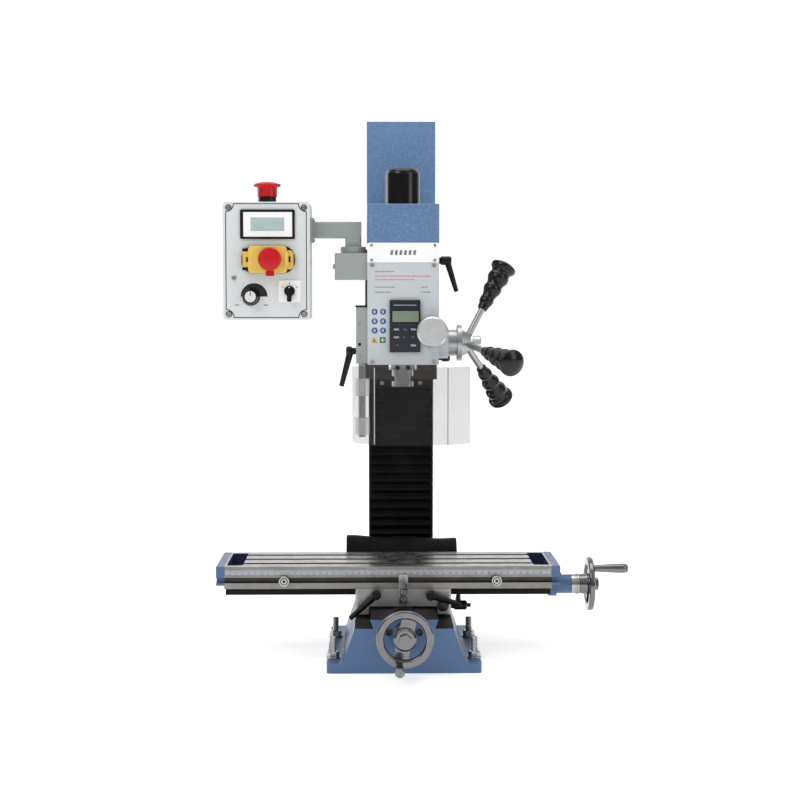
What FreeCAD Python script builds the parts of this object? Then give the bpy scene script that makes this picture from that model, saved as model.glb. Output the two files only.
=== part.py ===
import FreeCAD, Part
import math
import os

# Benchtop milling machine.  Millimetres.  +Z up, -Y towards the operator.
# The origin lies on the bench plane, on the middle line, 26 mm in front of the spindle axis.

Vec = FreeCAD.Vector
AXIS_X = Vec(1, 0, 0)
AXIS_Y = Vec(0, 1, 0)
AXIS_Z = Vec(0, 0, 1)

# ---- fits ------------------------------------------------------------------
SLIDE_GAP = 0.3
RUN_GAP = 0.05

# ---- base ------------------------------------------------------------------
BASE_FRONT = -133.0
BASE_BACK = 142.0
FLANGE_HALF = 116.0
FLANGE_TOP = 15.0
BODY_FOOT_HALF = 92.0
BODY_TOP_HALF = 74.0
BODY_TOP = 67.5
WALL = 10.0
RIB = 8.0
WAY_NECK_HALF = 46.0
WAY_TOP_HALF = 50.75
WAY_TOP = 81.0
WAY_BACK = 188.0
CHANNEL_HALF = 16.0
CHANNEL_FLOOR = 46.0
FRONT_WALL = 16.0
PEDESTAL_HALF = 66.0
PEDESTAL_TOP = 70.0
PEDESTAL_BACK = 305.0
SCOOP_R = 20.0
STUD_X = 107.0
STUD_MID_Y = -18.0
STUD_Y = 75.0
STUD_R = 5.0
STUD_END_R = 4.7
STUD_TOP = 47.0
WASHER_R = 11.0
WASHER_T = 2.0
NUT_FLATS = 16.0
NUT_H = 8.0

# ---- feed screws and handwheels ---------------------------------------------
SCREW_R = 6.0
BOSS_R = 15.0
Y_SCREW_Z = 63.0
Y_BEARING_Y = -156.0
Y_SCREW_END = 165.0
X_SCREW_Y = 26.0
X_SCREW_Z = 105.5
X_BEARING_X = 267.5
X_SCREW_END = -266.0
Z_SCREW_Y = 240.0
Z_BEARING_Z = 752.0
Z_SCREW_END = 95.0
DIAL_R = 15.5
DIAL_END = 10.0
RING_R = 16.5
RING_END = 12.5
HUB_R = 17.0
HUB_END = 38.0
RIM_R = 42.5
RIM_IN = 30.5
RIM_START = 25.5
RIM_END = 34.5
SPOKE_HALF = 11.0
GRIP_AT = 38.0
GRIP_LENGTH = 52.0
GRIP_BOLT_R = 3.5
THRUST_R = 9.0
THRUST_T = 6.0

# ---- saddle ------------------------------------------------------------------
SADDLE_HALF = 74.0
SADDLE_FRONT = -45.5
SADDLE_BACK = 97.0
SADDLE_FOOT = 71.5
SADDLE_TOP = 111.0

# ---- table -------------------------------------------------------------------
TABLE_LEFT = -276.5
TABLE_RIGHT = 230.5
TABLE_FRONT = -44.0
TABLE_BACK = 96.0
TABLE_TOP = 146.0
TABLE_LIP = 111.3
TAIL_FLOOR = 98.0
TAIL_HALF = 48.0
TAIL_NECK = 40.5
CAP_T = 12.5
CAP_FOOT = 116.5
STOP_SLOT = (120.5, 129.0)
STOP_SLOT_DEPTH = 7.0
STOP_X = (-183.8, 144.1)
STOP_R = 8.3
TEE_Y = (-14.0, 26.0, 66.0)
TEE_HALF = 6.0
TEE_DEPTH = 9.0
TEE_FOOT_HALF = 9.5
TEE_FOOT_DEPTH = 16.0
TROUGH_LENGTH = 25.0
TROUGH_HALF = 58.0
TROUGH_DEPTH = 17.0
TROUGH_WALL = 3.0

# ---- column ------------------------------------------------------------------
COLUMN_HALF = 50.0
COLUMN_NECK = 41.0
COLUMN_FACE = 196.0
COLUMN_BODY = 212.0
COLUMN_BACK = 300.0
COLUMN_TOP = 740.0
SLOT_HALF = 15.0
FOOT_FRONT = 192.0
FOOT_HALF = 62.0
FOOT_TOP = 92.0
HOOD_HALF = 57.0
HOOD_FRONT = 176.0
HOOD_FOOT = 650.0
HOOD_TOP = 851.0
SHEET_T = 2.0

# ---- bellows and way cover -----------------------------------------------------
BELLOWS_HALF = 54.0
BELLOWS_FRONT = 184.0
BELLOWS_FOOT = 110.0
BELLOWS_TOP = 410.0
PLEATS = 20
FRAME_TOP = 424.0
COVER_HALF = 91.0
COVER_T = 2.5

# ---- carriage and head -----------------------------------------------------------
CARRIAGE_HALF = 60.0
CARRIAGE_FRONT = 172.0
CARRIAGE_BACK = 208.0
CARRIAGE_TOP = 640.0
TILT_Z = 550.0
TILT_R = 25.0
HEAD_HALF = 55.0
HEAD_FRONT = -31.0
HEAD_BACK = 171.7
HEAD_FOOT = 457.0
HEAD_TOP = 644.0
PLATE_FRONT = -34.0
NAME_PLATE_FOOT = 613.5
TOP_COVER_TOP = 703.5
SPINDLE_Y = 26.0
QUILL_R = 25.0
QUILL_FOOT = 455.5
QUILL_TOP = 590.0
NOSE_R = 17.0
NOSE_FOOT = 421.0
MOTOR_Y = 112.0
MOTOR_R = 38.0
PULLEY_FOOT = 655.0
PULLEY_TOP = 690.0
SPINDLE_PULLEY_R = 30.0
MOTOR_PULLEY_R = 20.0
BELT_T = 3.0

# ---- capstan ------------------------------------------------------------------
CAPSTAN_Y = -5.0
CAPSTAN_Z = 490.0
CAPSTAN_SHAFT_R = 8.0
CAPSTAN_ANGLES = (107.5, -12.5, -132.5)
CAPSTAN_LEAN = 27.2
ROD_R = 5.0

# ---- control box ------------------------------------------------------------------
BOX_X = (-274.7, -142.2)
BOX_Z = (526.0, 705.5)
BOX_FRONT = -45.0
BOX_BACK = 35.0
LID_T = 12.0
BOX_WALL = 3.0
SWIVEL = (-76.7, -5.0)


# ---- shared shapes ------------------------------------------------------------
def block(x, y, z):
    """A box given by three (low, high) pairs."""
    return Part.makeBox(x[1] - x[0], y[1] - y[0], z[1] - z[0], Vec(x[0], y[0], z[0]))


def bar(radius, start, axis, length):
    """A round bar."""
    return Part.makeCylinder(radius, length, Vec(*start), axis)


def ring(outer, inner, start, axis, length):
    """A round bar with a hole through it."""
    return bar(outer, start, axis, length).cut(bar(inner, start, axis, length))


def join(pieces):
    """One solid out of touching pieces."""
    return pieces[0].multiFuse(pieces[1:]).removeSplitter()


def cut(body, tools):
    """The body without the tools."""
    for tool in tools:
        body = body.cut(tool)
    return body


def sweep_face(points, push):
    """A flat outline pushed along a vector."""
    return Part.Face(Part.makePolygon(points + points[:1])).extrude(push)


def along_x(yz, x):
    """An outline in the YZ plane, from x[0] to x[1]."""
    return sweep_face([Vec(x[0], p[0], p[1]) for p in yz], Vec(x[1] - x[0], 0, 0))


def along_y(xz, y):
    """An outline in the XZ plane, from y[0] to y[1]."""
    return sweep_face([Vec(p[0], y[0], p[1]) for p in xz], Vec(0, y[1] - y[0], 0))


def along_z(xy, z):
    """An outline in the XY plane, from z[0] to z[1]."""
    return sweep_face([Vec(p[0], p[1], z[0]) for p in xy], Vec(0, 0, z[1] - z[0]))


def mirrored(half):
    """A closed outline from its right-hand half, mirrored about the first coordinate."""
    return half + [(-p[0], p[1]) for p in reversed(half)]


def turned(profile):
    """A turned piece about local Z.  Entries are (radius, height), or
    (radius, height, mid_radius, mid_height) for an arc from the entry before."""
    edges = []
    here = profile[0]
    for entry in profile[1:] + profile[:1]:
        start = Vec(here[0], 0, here[1])
        end = Vec(entry[0], 0, entry[1])
        if len(entry) == 4:
            middle = Vec(entry[2], 0, entry[3])
            edges.append(Part.Arc(start, middle, end).toShape())
        else:
            edges.append(Part.LineSegment(start, end).toShape())
        here = entry
    return Part.Face(Part.Wire(edges)).revolve(Vec(0, 0, 0), AXIS_Z, 360)


def crown(radius, low, top):
    """The arc entry that closes a turned piece with a spherical cap."""
    centre = (top + low - radius ** 2 / (top - low)) / 2
    middle = (math.atan2(low - centre, radius) + math.pi / 2) / 2
    reach = top - centre
    return (0, top, reach * math.cos(middle), centre + reach * math.sin(middle))


def placed(shape, origin, axis, arm=None):
    """Moves a local piece so local Z lies along axis and local X along arm."""
    z_dir = Vec(axis).normalize()
    x_dir = Vec(arm) if arm else z_dir.cross(Vec(z_dir.y, z_dir.z, z_dir.x))
    x_dir = (x_dir - z_dir * x_dir.dot(z_dir)).normalize()
    y_dir = z_dir.cross(x_dir)
    matrix = FreeCAD.Matrix(
        x_dir.x, y_dir.x, z_dir.x, origin[0],
        x_dir.y, y_dir.y, z_dir.y, origin[1],
        x_dir.z, y_dir.z, z_dir.z, origin[2],
        0, 0, 0, 1)
    moved = shape.copy()
    moved.Placement = FreeCAD.Placement(matrix).multiply(shape.Placement)
    return moved


def soften(shape, radius, axis=None, keep=None):
    """Rounds the straight edges that run along an axis and pass the keep test."""
    chosen = []
    for edge in shape.Edges:
        if not isinstance(edge.Curve, (Part.Line, Part.LineSegment)):
            continue
        run = edge.tangentAt(edge.FirstParameter)
        if axis is not None and abs(abs(run.dot(axis)) - 1) > 1e-6:
            continue
        if keep is None or keep(edge.CenterOfMass):
            chosen.append(edge)
    return shape.makeFillet(radius, chosen) if chosen else shape


def hexagon(flats, start, axis, length):
    """A hexagonal bar, as for a nut."""
    reach = flats / math.sqrt(3)
    corners = []
    for step in range(6):
        turn = math.radians(60 * step)
        corners.append((reach * math.cos(turn), reach * math.sin(turn)))
    return placed(along_z(corners, (0, length)), start, axis)


def socket_screw(radius, start, axis, height):
    """A cap screw head with a hexagon socket."""
    head = bar(radius, start, axis, height)
    head = head.makeFillet(radius * 0.12, [e for e in head.Edges if len(e.Vertexes) == 1])
    mouth = Vec(*start) + Vec(axis) * (height * 0.4)
    return head.cut(hexagon(radius * 1.05, tuple(mouth), axis, height))


def save(name, pieces):
    """Writes one node."""
    shape = pieces[0] if len(pieces) == 1 else Part.makeCompound(pieces)
    for solid in shape.Solids:
        assert solid.isValid(), name
    shape.exportStep("parts/" + name + ".step")
    print(name, len(shape.Solids))


os.makedirs("parts", exist_ok=True)


# ---- base casting ----------------------------------------------------------------
body_section = mirrored([(BODY_FOOT_HALF, FLANGE_TOP), (BODY_TOP_HALF, BODY_TOP)])
cavity_section = mirrored([(BODY_FOOT_HALF - WALL, -1), (BODY_TOP_HALF - WALL, BODY_TOP - WALL)])
way_section = mirrored([(WAY_NECK_HALF, BODY_TOP - 1), (WAY_TOP_HALF, WAY_TOP)])
flange = block((-FLANGE_HALF, FLANGE_HALF), (BASE_FRONT, BASE_BACK), (0, FLANGE_TOP))
flange = soften(flange, 6, AXIS_Z)
pedestal = block((-PEDESTAL_HALF, PEDESTAL_HALF), (BASE_BACK - 4, PEDESTAL_BACK), (0, PEDESTAL_TOP))
pedestal = soften(pedestal, 8, AXIS_Z, lambda p: p.y > BASE_BACK)
base = join([
    flange,
    along_y(body_section, (BASE_FRONT, BASE_BACK)),
    pedestal,
    along_y(way_section, (BASE_FRONT, WAY_BACK)),
    bar(BOSS_R, (0, Y_BEARING_Y, Y_SCREW_Z), AXIS_Y, BASE_FRONT - Y_BEARING_Y + 2)])
base = cut(base, [
    along_y(cavity_section, (BASE_FRONT + FRONT_WALL, -RIB)),
    along_y(cavity_section, (RIB, BASE_BACK - WALL)),
    block((-PEDESTAL_HALF + WALL, PEDESTAL_HALF - WALL),
          (BASE_BACK + WALL, PEDESTAL_BACK - WALL), (-1, PEDESTAL_TOP - WALL)),
    block((-CHANNEL_HALF, CHANNEL_HALF), (BASE_FRONT + FRONT_WALL, WAY_BACK + 1),
          (CHANNEL_FLOOR, WAY_TOP + 1)),
    bar(SCREW_R + RUN_GAP, (0, Y_BEARING_Y - 1, Y_SCREW_Z), AXIS_Y, 60)])
STUD_SPOTS = [(x, y) for x in (-STUD_X, STUD_X) for y in (STUD_MID_Y - STUD_Y, STUD_MID_Y + STUD_Y)]
base = cut(base, [bar(SCOOP_R, (x, y, FLANGE_TOP), AXIS_Z, WAY_TOP) for x, y in STUD_SPOTS])
base = cut(base, [bar(STUD_R + 0.5, (x, y, -1), AXIS_Z, FLANGE_TOP + 2) for x, y in STUD_SPOTS])
COLUMN_BOLTS = [(x, y) for x in (-56.3, 56.3) for y in (205.0, 292.0)]
BOLT_R = 4.0
base = cut(base, [bar(BOLT_R + 0.2, (x, y, PEDESTAL_TOP - 20), AXIS_Z, 21) for x, y in COLUMN_BOLTS])
save("base_casting", [base])

fasteners = []
for x, y in STUD_SPOTS:
    shank_top = FLANGE_TOP + WASHER_T + NUT_H
    fasteners.append(placed(turned([
        (0, 0), (STUD_R, 0), (STUD_R, shank_top), (STUD_END_R, shank_top), (STUD_END_R, STUD_TOP - 1),
        (STUD_END_R - 1, STUD_TOP), (0, STUD_TOP)]), (x, y, 0), AXIS_Z))
    fasteners.append(ring(WASHER_R, STUD_R + 0.3, (x, y, FLANGE_TOP), AXIS_Z, WASHER_T))
    nut_foot = FLANGE_TOP + WASHER_T
    nut = hexagon(NUT_FLATS, (x, y, nut_foot), AXIS_Z, NUT_H)
    bevel = Part.makeCone(NUT_FLATS * 0.56, NUT_FLATS * 0.46, 1.6, Vec(x, y, nut_foot + NUT_H - 1.6))
    bevel = join([bar(NUT_FLATS * 0.6, (x, y, nut_foot), AXIS_Z, NUT_H - 1.6), bevel])
    fasteners.append(nut.common(bevel).cut(bar(STUD_R + 0.1, (x, y, nut_foot - 1), AXIS_Z, NUT_H + 2)))
for x in (-23.0, 23.0):
    fasteners.append(socket_screw(5, (x, BASE_FRONT, 62), -AXIS_Y, 5))
for x, y in COLUMN_BOLTS:
    fasteners.append(bar(BOLT_R, (x, y, PEDESTAL_TOP - 18), AXIS_Z, FOOT_TOP - PEDESTAL_TOP + 18))
    fasteners.append(socket_screw(5.5, (x, y, FOOT_TOP), AXIS_Z, 7))
save("base_fasteners", fasteners)

# ---- column ------------------------------------------------------------------
dovetail = mirrored([(COLUMN_HALF, COLUMN_FACE), (COLUMN_NECK, COLUMN_BODY)])
column = join([
    along_z(dovetail, (PEDESTAL_TOP, COLUMN_TOP)),
    block((-COLUMN_HALF, COLUMN_HALF), (COLUMN_BODY, COLUMN_BACK), (PEDESTAL_TOP, COLUMN_TOP)),
    block((-FOOT_HALF, FOOT_HALF), (FOOT_FRONT, PEDESTAL_BACK), (PEDESTAL_TOP, FOOT_TOP)),
    block((-HOOD_HALF + SHEET_T, HOOD_HALF - SHEET_T), (COLUMN_FACE, COLUMN_BACK),
          (COLUMN_TOP, Z_BEARING_Z))])
column = cut(column, [
    block((-COLUMN_HALF + 12, COLUMN_HALF - 12), (COLUMN_BODY + 10, COLUMN_BACK - WALL),
          (FOOT_TOP, COLUMN_TOP)),
    block((-SLOT_HALF, SLOT_HALF), (COLUMN_FACE - 1, COLUMN_BODY + 12), (BELLOWS_FOOT, COLUMN_TOP - 5)),
    bar(SCREW_R + RUN_GAP, (0, Z_SCREW_Y, COLUMN_TOP - 1), AXIS_Z, 20)])
column = cut(column, [bar(BOLT_R + 0.2, (x, y, PEDESTAL_TOP - 1), AXIS_Z, 30) for x, y in COLUMN_BOLTS])
save("column_casting", [column])

hood = block((-HOOD_HALF, HOOD_HALF), (HOOD_FRONT, COLUMN_BACK), (HOOD_FOOT, HOOD_TOP))
hood = soften(hood, 3, AXIS_Z, lambda p: p.y < HOOD_FRONT + 1)
inside = block((-HOOD_HALF + SHEET_T, HOOD_HALF - SHEET_T), (HOOD_FRONT + SHEET_T, COLUMN_BACK + 1),
               (HOOD_FOOT - 1, HOOD_TOP + 1))
save("column_cover", [hood.cut(inside)])

pleat = (BELLOWS_TOP - BELLOWS_FOOT) / PLEATS
outer_line = []
inner_line = []
for step in range(PLEATS):
    low = BELLOWS_FOOT + step * pleat
    outer_line += [(BELLOWS_FRONT + 6, low), (BELLOWS_FRONT, low + pleat / 2)]
outer_line.append((BELLOWS_FRONT + 6, BELLOWS_TOP))
inner_line = [(y + 1.6, z) for y, z in reversed(outer_line)]
bellows = along_x(outer_line + inner_line, (-BELLOWS_HALF, BELLOWS_HALF))
save("column_bellows", [bellows])

cover_top = [(100.2, 98), (104, 129), (111, 150.5), (125, 162.3), (145, 161.3), (163, 149.5), (174, 131), (180, 112)]
middle_line = Part.BSplineCurve()
middle_line.interpolate([Vec(-COVER_HALF, y, z) for y, z in cover_top])
first, last = middle_line.FirstParameter, middle_line.LastParameter
COVER_STEPS = 16


def cover_side(offset):
    """A curve beside the middle line of the rubber sheet."""
    points = []
    for step in range(COVER_STEPS + 1):
        where = first + (last - first) * step / COVER_STEPS
        points.append(middle_line.value(where) + middle_line.tangent(where)[0].cross(AXIS_X) * offset)
    curve = Part.BSplineCurve()
    curve.interpolate(points)
    return curve.toShape()


upper = cover_side(-COVER_T / 2)
lower = cover_side(COVER_T / 2)
ends = [Part.makeLine(upper.Vertexes[k].Point, lower.Vertexes[k].Point) for k in (0, 1)]
cover_outline = Part.Wire([upper, ends[1], lower, ends[0]])
save("way_cover", [Part.Face(cover_outline).extrude(Vec(2 * COVER_HALF, 0, 0))])

# ---- saddle ------------------------------------------------------------------
SADDLE_CEILING = WAY_TOP + SLIDE_GAP


def base_way_half(z):
    """Half width of the base dovetail at a height."""
    return WAY_NECK_HALF + (z - BODY_TOP) * (WAY_TOP_HALF - WAY_NECK_HALF) / (WAY_TOP - BODY_TOP)


def table_tail_half(z):
    """Half width of the table dovetail at a height."""
    return TAIL_HALF - (z - TAIL_FLOOR) * (TAIL_HALF - TAIL_NECK) / (TABLE_LIP - TAIL_FLOOR)


way_cut = mirrored([(base_way_half(SADDLE_FOOT - 1) + 0.4, SADDLE_FOOT - 1),
                    (base_way_half(SADDLE_CEILING) + 0.4, SADDLE_CEILING)])
TAIL_MID = (TABLE_FRONT + TABLE_BACK) / 2
tail_cut = []
for z, side in ((TAIL_FLOOR - SLIDE_GAP, -1), (TAIL_FLOOR - SLIDE_GAP, 1), (SADDLE_TOP + 1, 1), (SADDLE_TOP + 1, -1)):
    tail_cut.append((TAIL_MID + side * (table_tail_half(z) + 0.4), z))
saddle = block((-SADDLE_HALF, SADDLE_HALF), (SADDLE_FRONT, SADDLE_BACK), (SADDLE_FOOT, SADDLE_TOP))
saddle = soften(saddle, 4, AXIS_Z)
LEFT_PIVOT = (-41.8, SADDLE_FRONT, 104.0)
RIGHT_PIVOT = (42.1, SADDLE_FRONT, 103.0)
SIDE_PIVOT = (SADDLE_HALF, 0.0, 77.0)
LEVER_STUD_R = 4.0
saddle = cut(saddle, [
    along_y(way_cut, (SADDLE_FRONT - 1, SADDLE_BACK + 1)),
    along_x(tail_cut, (-SADDLE_HALF - 1, SADDLE_HALF + 1)),
    block((-53, 53), (SADDLE_FRONT - 1, SADDLE_FRONT + 4), (SADDLE_FOOT - 1, 84)),
    bar(LEVER_STUD_R + RUN_GAP, LEFT_PIVOT, AXIS_Y, 13),
    bar(LEVER_STUD_R + RUN_GAP, RIGHT_PIVOT, AXIS_Y, 13),
    bar(LEVER_STUD_R + RUN_GAP, SIDE_PIVOT, -AXIS_X, 8)])
save("saddle_casting", [saddle])

y_nut = block((-12, 12), (8, 44), (Y_SCREW_Z - 11, SADDLE_CEILING))
y_nut = y_nut.cut(bar(SCREW_R + RUN_GAP, (0, 0, Y_SCREW_Z), AXIS_Y, 60))
x_nut = block((-20, 20), (X_SCREW_Y - 11, X_SCREW_Y + 11), (TAIL_FLOOR - SLIDE_GAP, X_SCREW_Z + 11))
x_nut = x_nut.cut(bar(SCREW_R + RUN_GAP, (-30, X_SCREW_Y, X_SCREW_Z), AXIS_X, 60))
save("feed_nuts", [y_nut, x_nut])

PLATE_Y = SADDLE_FRONT - 3
pointer = block((-7, 7), (PLATE_Y, SADDLE_FRONT), (88, 134))
pointer = soften(pointer, 2.5, AXIS_Y)
fittings = [pointer]
for z in (106.7, 95.4):
    fittings.append(socket_screw(4.3, (0, PLATE_Y, z), -AXIS_Y, 3.6))
knob = turned([(0, 0), (5, 0), (5, 2), (8.75, 3), (8.75, 8), (7, 10.5, 8.3, 9.7), (0, 11)])
fittings.append(placed(knob, (61.4, SADDLE_FRONT, 86.2), -AXIS_Y))
save("saddle_fittings", fittings)

# ---- table -------------------------------------------------------------------
table_section = [
    (TAIL_MID - TAIL_HALF, TAIL_FLOOR), (TAIL_MID + TAIL_HALF, TAIL_FLOOR),
    (TAIL_MID + TAIL_NECK, TABLE_LIP), (TABLE_BACK, TABLE_LIP), (TABLE_BACK, TABLE_TOP),
    (TABLE_FRONT, TABLE_TOP), (TABLE_FRONT, TABLE_LIP), (TAIL_MID - TAIL_NECK, TABLE_LIP)]
table = along_x(table_section, (TABLE_LEFT, TABLE_RIGHT))
table_cuts = [
    block((TABLE_LEFT - 1, TABLE_RIGHT + 1), (X_SCREW_Y - 14, X_SCREW_Y + 14), (TAIL_FLOOR - 1, 123)),
    block((TABLE_LEFT - 1, TABLE_RIGHT + 1), (TABLE_FRONT - 1, TABLE_FRONT + STOP_SLOT_DEPTH), STOP_SLOT),
    block((TABLE_LEFT - 1, TABLE_RIGHT + 1), (TABLE_FRONT - 1, TABLE_FRONT + 0.6), (132.7, 142))]
trough_in = TROUGH_WALL + TROUGH_LENGTH
for low, high in ((TABLE_LEFT + TROUGH_WALL, TABLE_LEFT + trough_in), (TABLE_RIGHT - trough_in, TABLE_RIGHT - TROUGH_WALL)):
    trough = block((low, high), (TAIL_MID - TROUGH_HALF, TAIL_MID + TROUGH_HALF),
                   (TABLE_TOP - TROUGH_DEPTH, TABLE_TOP + 1))
    table_cuts.append(soften(trough, 4, AXIS_Z))
for y in TEE_Y:
    span = (TABLE_LEFT + trough_in - 5, TABLE_RIGHT - trough_in + 5)
    table_cuts.append(block(span, (y - TEE_HALF, y + TEE_HALF), (TABLE_TOP - TEE_DEPTH - 1, TABLE_TOP + 1)))
    table_cuts.append(block(span, (y - TEE_FOOT_HALF, y + TEE_FOOT_HALF),
                            (TABLE_TOP - TEE_FOOT_DEPTH, TABLE_TOP - TEE_DEPTH)))
save("table_casting", [cut(table, table_cuts)])

cap_section = [
    (TABLE_FRONT, CAP_FOOT), (TABLE_BACK, CAP_FOOT), (TABLE_BACK, TABLE_TOP), (TABLE_FRONT, TABLE_TOP), (TABLE_FRONT, STOP_SLOT[1]),
    (TABLE_FRONT + STOP_SLOT_DEPTH, STOP_SLOT[1]), (TABLE_FRONT + STOP_SLOT_DEPTH, STOP_SLOT[0]),
    (TABLE_FRONT, STOP_SLOT[0])]
screw_bore = bar(SCREW_R + RUN_GAP, (-300, X_SCREW_Y, X_SCREW_Z), AXIS_X, 600)
left_cap = along_x(cap_section, (TABLE_LEFT - CAP_T, TABLE_LEFT))
save("table_cap_left", [left_cap])
right_cap = along_x(cap_section, (TABLE_RIGHT, TABLE_RIGHT + CAP_T))
bearing_lug = block((TABLE_RIGHT, TABLE_RIGHT + CAP_T), (X_SCREW_Y - 24, X_SCREW_Y + 24), (TAIL_FLOOR - 9, CAP_FOOT + 1))
bearing_lug = soften(bearing_lug, 10, AXIS_X, lambda p: p.z < TAIL_FLOOR)
housing = bar(BOSS_R, (TABLE_RIGHT + CAP_T - 1, X_SCREW_Y, X_SCREW_Z), AXIS_X,
              X_BEARING_X - TABLE_RIGHT - CAP_T + 1)
oiler = Part.makeSphere(3, Vec(250, X_SCREW_Y, X_SCREW_Z + BOSS_R + 1))
save("table_cap_right", [join([right_cap, bearing_lug, housing, oiler]).cut(screw_bore)])

stops = []
for x in STOP_X:
    tee = block((x - 7, x + 7), (TABLE_FRONT - 1, TABLE_FRONT + STOP_SLOT_DEPTH - 0.5), (121, 128.5))
    button = bar(STOP_R, (x, TABLE_FRONT - 0.5, 124.2), -AXIS_Y, 7)
    button = button.makeFillet(1, [e for e in button.Edges if len(e.Vertexes) == 1])
    socket = hexagon(5, (x, TABLE_FRONT - 4, 124.2), -AXIS_Y, 6)
    stops.append(join([tee, button]).cut(socket))
save("table_stops", stops)


# ---- feed handwheels --------------------------------------------------------
def handwheel():
    """The wheel (rim, two broad spokes, hub) about local Z, and its handle bolt on local +X."""
    rim = ring(RIM_R, RIM_IN, (0, 0, RIM_START), AXIS_Z, RIM_END - RIM_START)
    rim = rim.makeFillet(3, [e for e in rim.Edges if len(e.Vertexes) == 1])
    spoke = block((-RIM_IN - 3, RIM_IN + 3), (-SPOKE_HALF, SPOKE_HALF), (RIM_START + 1, RIM_END - 2.5))
    hub = turned([(0, RING_END + 0.3), (HUB_R - 2, RING_END + 0.3), (HUB_R, RIM_START),
                  (HUB_R, HUB_END - 3), (HUB_R - 3, HUB_END), (0, HUB_END)])
    nut = hexagon(17, (0, 0, HUB_END), AXIS_Z, 6)
    dish = turned([(HUB_R, RIM_START + 12), (HUB_R, RIM_END - 4), (RIM_IN - 1, RIM_END - 4),
                   (RIM_IN + 2, RIM_START + 12)])
    bolt = bar(GRIP_BOLT_R, (GRIP_AT, 0, RIM_START + 2), AXIS_Z, RIM_END - RIM_START - 2 + GRIP_LENGTH)
    head = bar(6.3, (GRIP_AT, 0, RIM_END + GRIP_LENGTH - 1.6), AXIS_Z, 1.8)
    slot = block((GRIP_AT - 6, GRIP_AT + 6), (-0.8, 0.8), (RIM_END + GRIP_LENGTH - 1, RIM_END + GRIP_LENGTH + 1))
    wheel = join([rim, spoke.cut(dish), hub, nut]).cut(bolt)
    return [wheel.cut(bar(SCREW_R, (0, 0, 0), AXIS_Z, HUB_END + 2)), join([bolt, head]).cut(slot)]


def feed_screw(length):
    """The plain-cored screw from the hub down to -length, with its thrust collar."""
    return bar(SCREW_R, (0, 0, -length), AXIS_Z, length + HUB_END)


def dial():
    """Graduated dial and its lock ring."""
    sleeve = ring(DIAL_R, SCREW_R, (0, 0, SLIDE_GAP), AXIS_Z, DIAL_END - SLIDE_GAP)
    lock = ring(RING_R, SCREW_R, (0, 0, DIAL_END), AXIS_Z, RING_END - DIAL_END)
    return [sleeve, lock]


def handwheel_grip():
    """The turning handle on its bolt."""
    return turned([
        (GRIP_BOLT_R + RUN_GAP, RIM_END + 0.4), (5, RIM_END + 0.4), (5.6, RIM_END + 6),
        (7.5, RIM_END + GRIP_LENGTH - 8, 6.9, RIM_END + 28),
        (6.2, RIM_END + GRIP_LENGTH - 2, 7.2, RIM_END + GRIP_LENGTH - 4),
        (GRIP_BOLT_R + RUN_GAP, RIM_END + GRIP_LENGTH - 2)])


def grip_in_wheel():
    """The handle moved out to its place on the rim."""
    return placed(handwheel_grip(), (GRIP_AT, 0, 0), AXIS_Z, AXIS_X)


Y_ORIGIN = (0, Y_BEARING_Y, Y_SCREW_Z)
Y_ARM = (-math.sin(math.radians(12.5)), 0, -math.cos(math.radians(12.5)))
X_ORIGIN = (X_BEARING_X, X_SCREW_Y, X_SCREW_Z)
X_ARM = (0, -24.0, 28.0)
Z_ORIGIN = (0, Z_SCREW_Y, Z_BEARING_Z)
WHEELS = (
    ("x", X_ORIGIN, AXIS_X, X_ARM, X_BEARING_X - X_SCREW_END, X_BEARING_X - TABLE_RIGHT + 0.3),
    ("y", Y_ORIGIN, -AXIS_Y, Y_ARM, Y_SCREW_END - Y_BEARING_Y, BASE_FRONT + FRONT_WALL - Y_BEARING_Y + 0.3))
for name, origin, axis, arm, length, wall in WHEELS:
    save(name + "_handwheel", [placed(piece, origin, axis, arm) for piece in handwheel()])
    thrust = bar(THRUST_R, (0, 0, -wall - THRUST_T), AXIS_Z, THRUST_T)
    screw = [join([feed_screw(length), thrust])] + dial()
    save(name + "_screw", [placed(piece, origin, axis, arm) for piece in screw])
    save(name + "_grip", [placed(grip_in_wheel(), origin, axis, arm)])
fixed_grip = grip_in_wheel()
thrust = bar(THRUST_R, (0, 0, COLUMN_TOP - Z_BEARING_Z - 0.3 - THRUST_T), AXIS_Z, THRUST_T)
z_pieces = handwheel() + [join([feed_screw(Z_BEARING_Z - Z_SCREW_END), thrust]), fixed_grip] + dial()
save("z_handwheel", [placed(piece, Z_ORIGIN, AXIS_Z, (0.6, 0.8, 0)) for piece in z_pieces])

# ---- carriage -----------------------------------------------------------------
def column_half(y):
    """Half width of the column dovetail at a depth."""
    return COLUMN_HALF - (y - COLUMN_FACE) * (COLUMN_HALF - COLUMN_NECK) / (COLUMN_BODY - COLUMN_FACE)


carriage_cut = mirrored([(column_half(COLUMN_FACE - 0.35) + 0.4, COLUMN_FACE - 0.35),
                         (column_half(CARRIAGE_BACK + 1) + 0.4, CARRIAGE_BACK + 1)])
CARRIAGE_PIVOT = (CARRIAGE_HALF, 190.0, 622.0)
carriage = block((-CARRIAGE_HALF, CARRIAGE_HALF), (CARRIAGE_FRONT, CARRIAGE_BACK), (FRAME_TOP, CARRIAGE_TOP))
carriage = soften(carriage, 3, AXIS_Z, lambda p: p.y < CARRIAGE_FRONT + 1)
spigot = bar(TILT_R, (0, CARRIAGE_FRONT - 12, TILT_Z), AXIS_Y, 13)
carriage = join([carriage, spigot])
carriage = cut(carriage, [
    along_z(carriage_cut, (FRAME_TOP - 1, CARRIAGE_TOP + 1)),
    bar(LEVER_STUD_R + RUN_GAP, CARRIAGE_PIVOT, -AXIS_X, 12)])
nut_arm = block((-12, 12), (COLUMN_FACE - 0.35, Z_SCREW_Y + 13), (560, 590))
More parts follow.
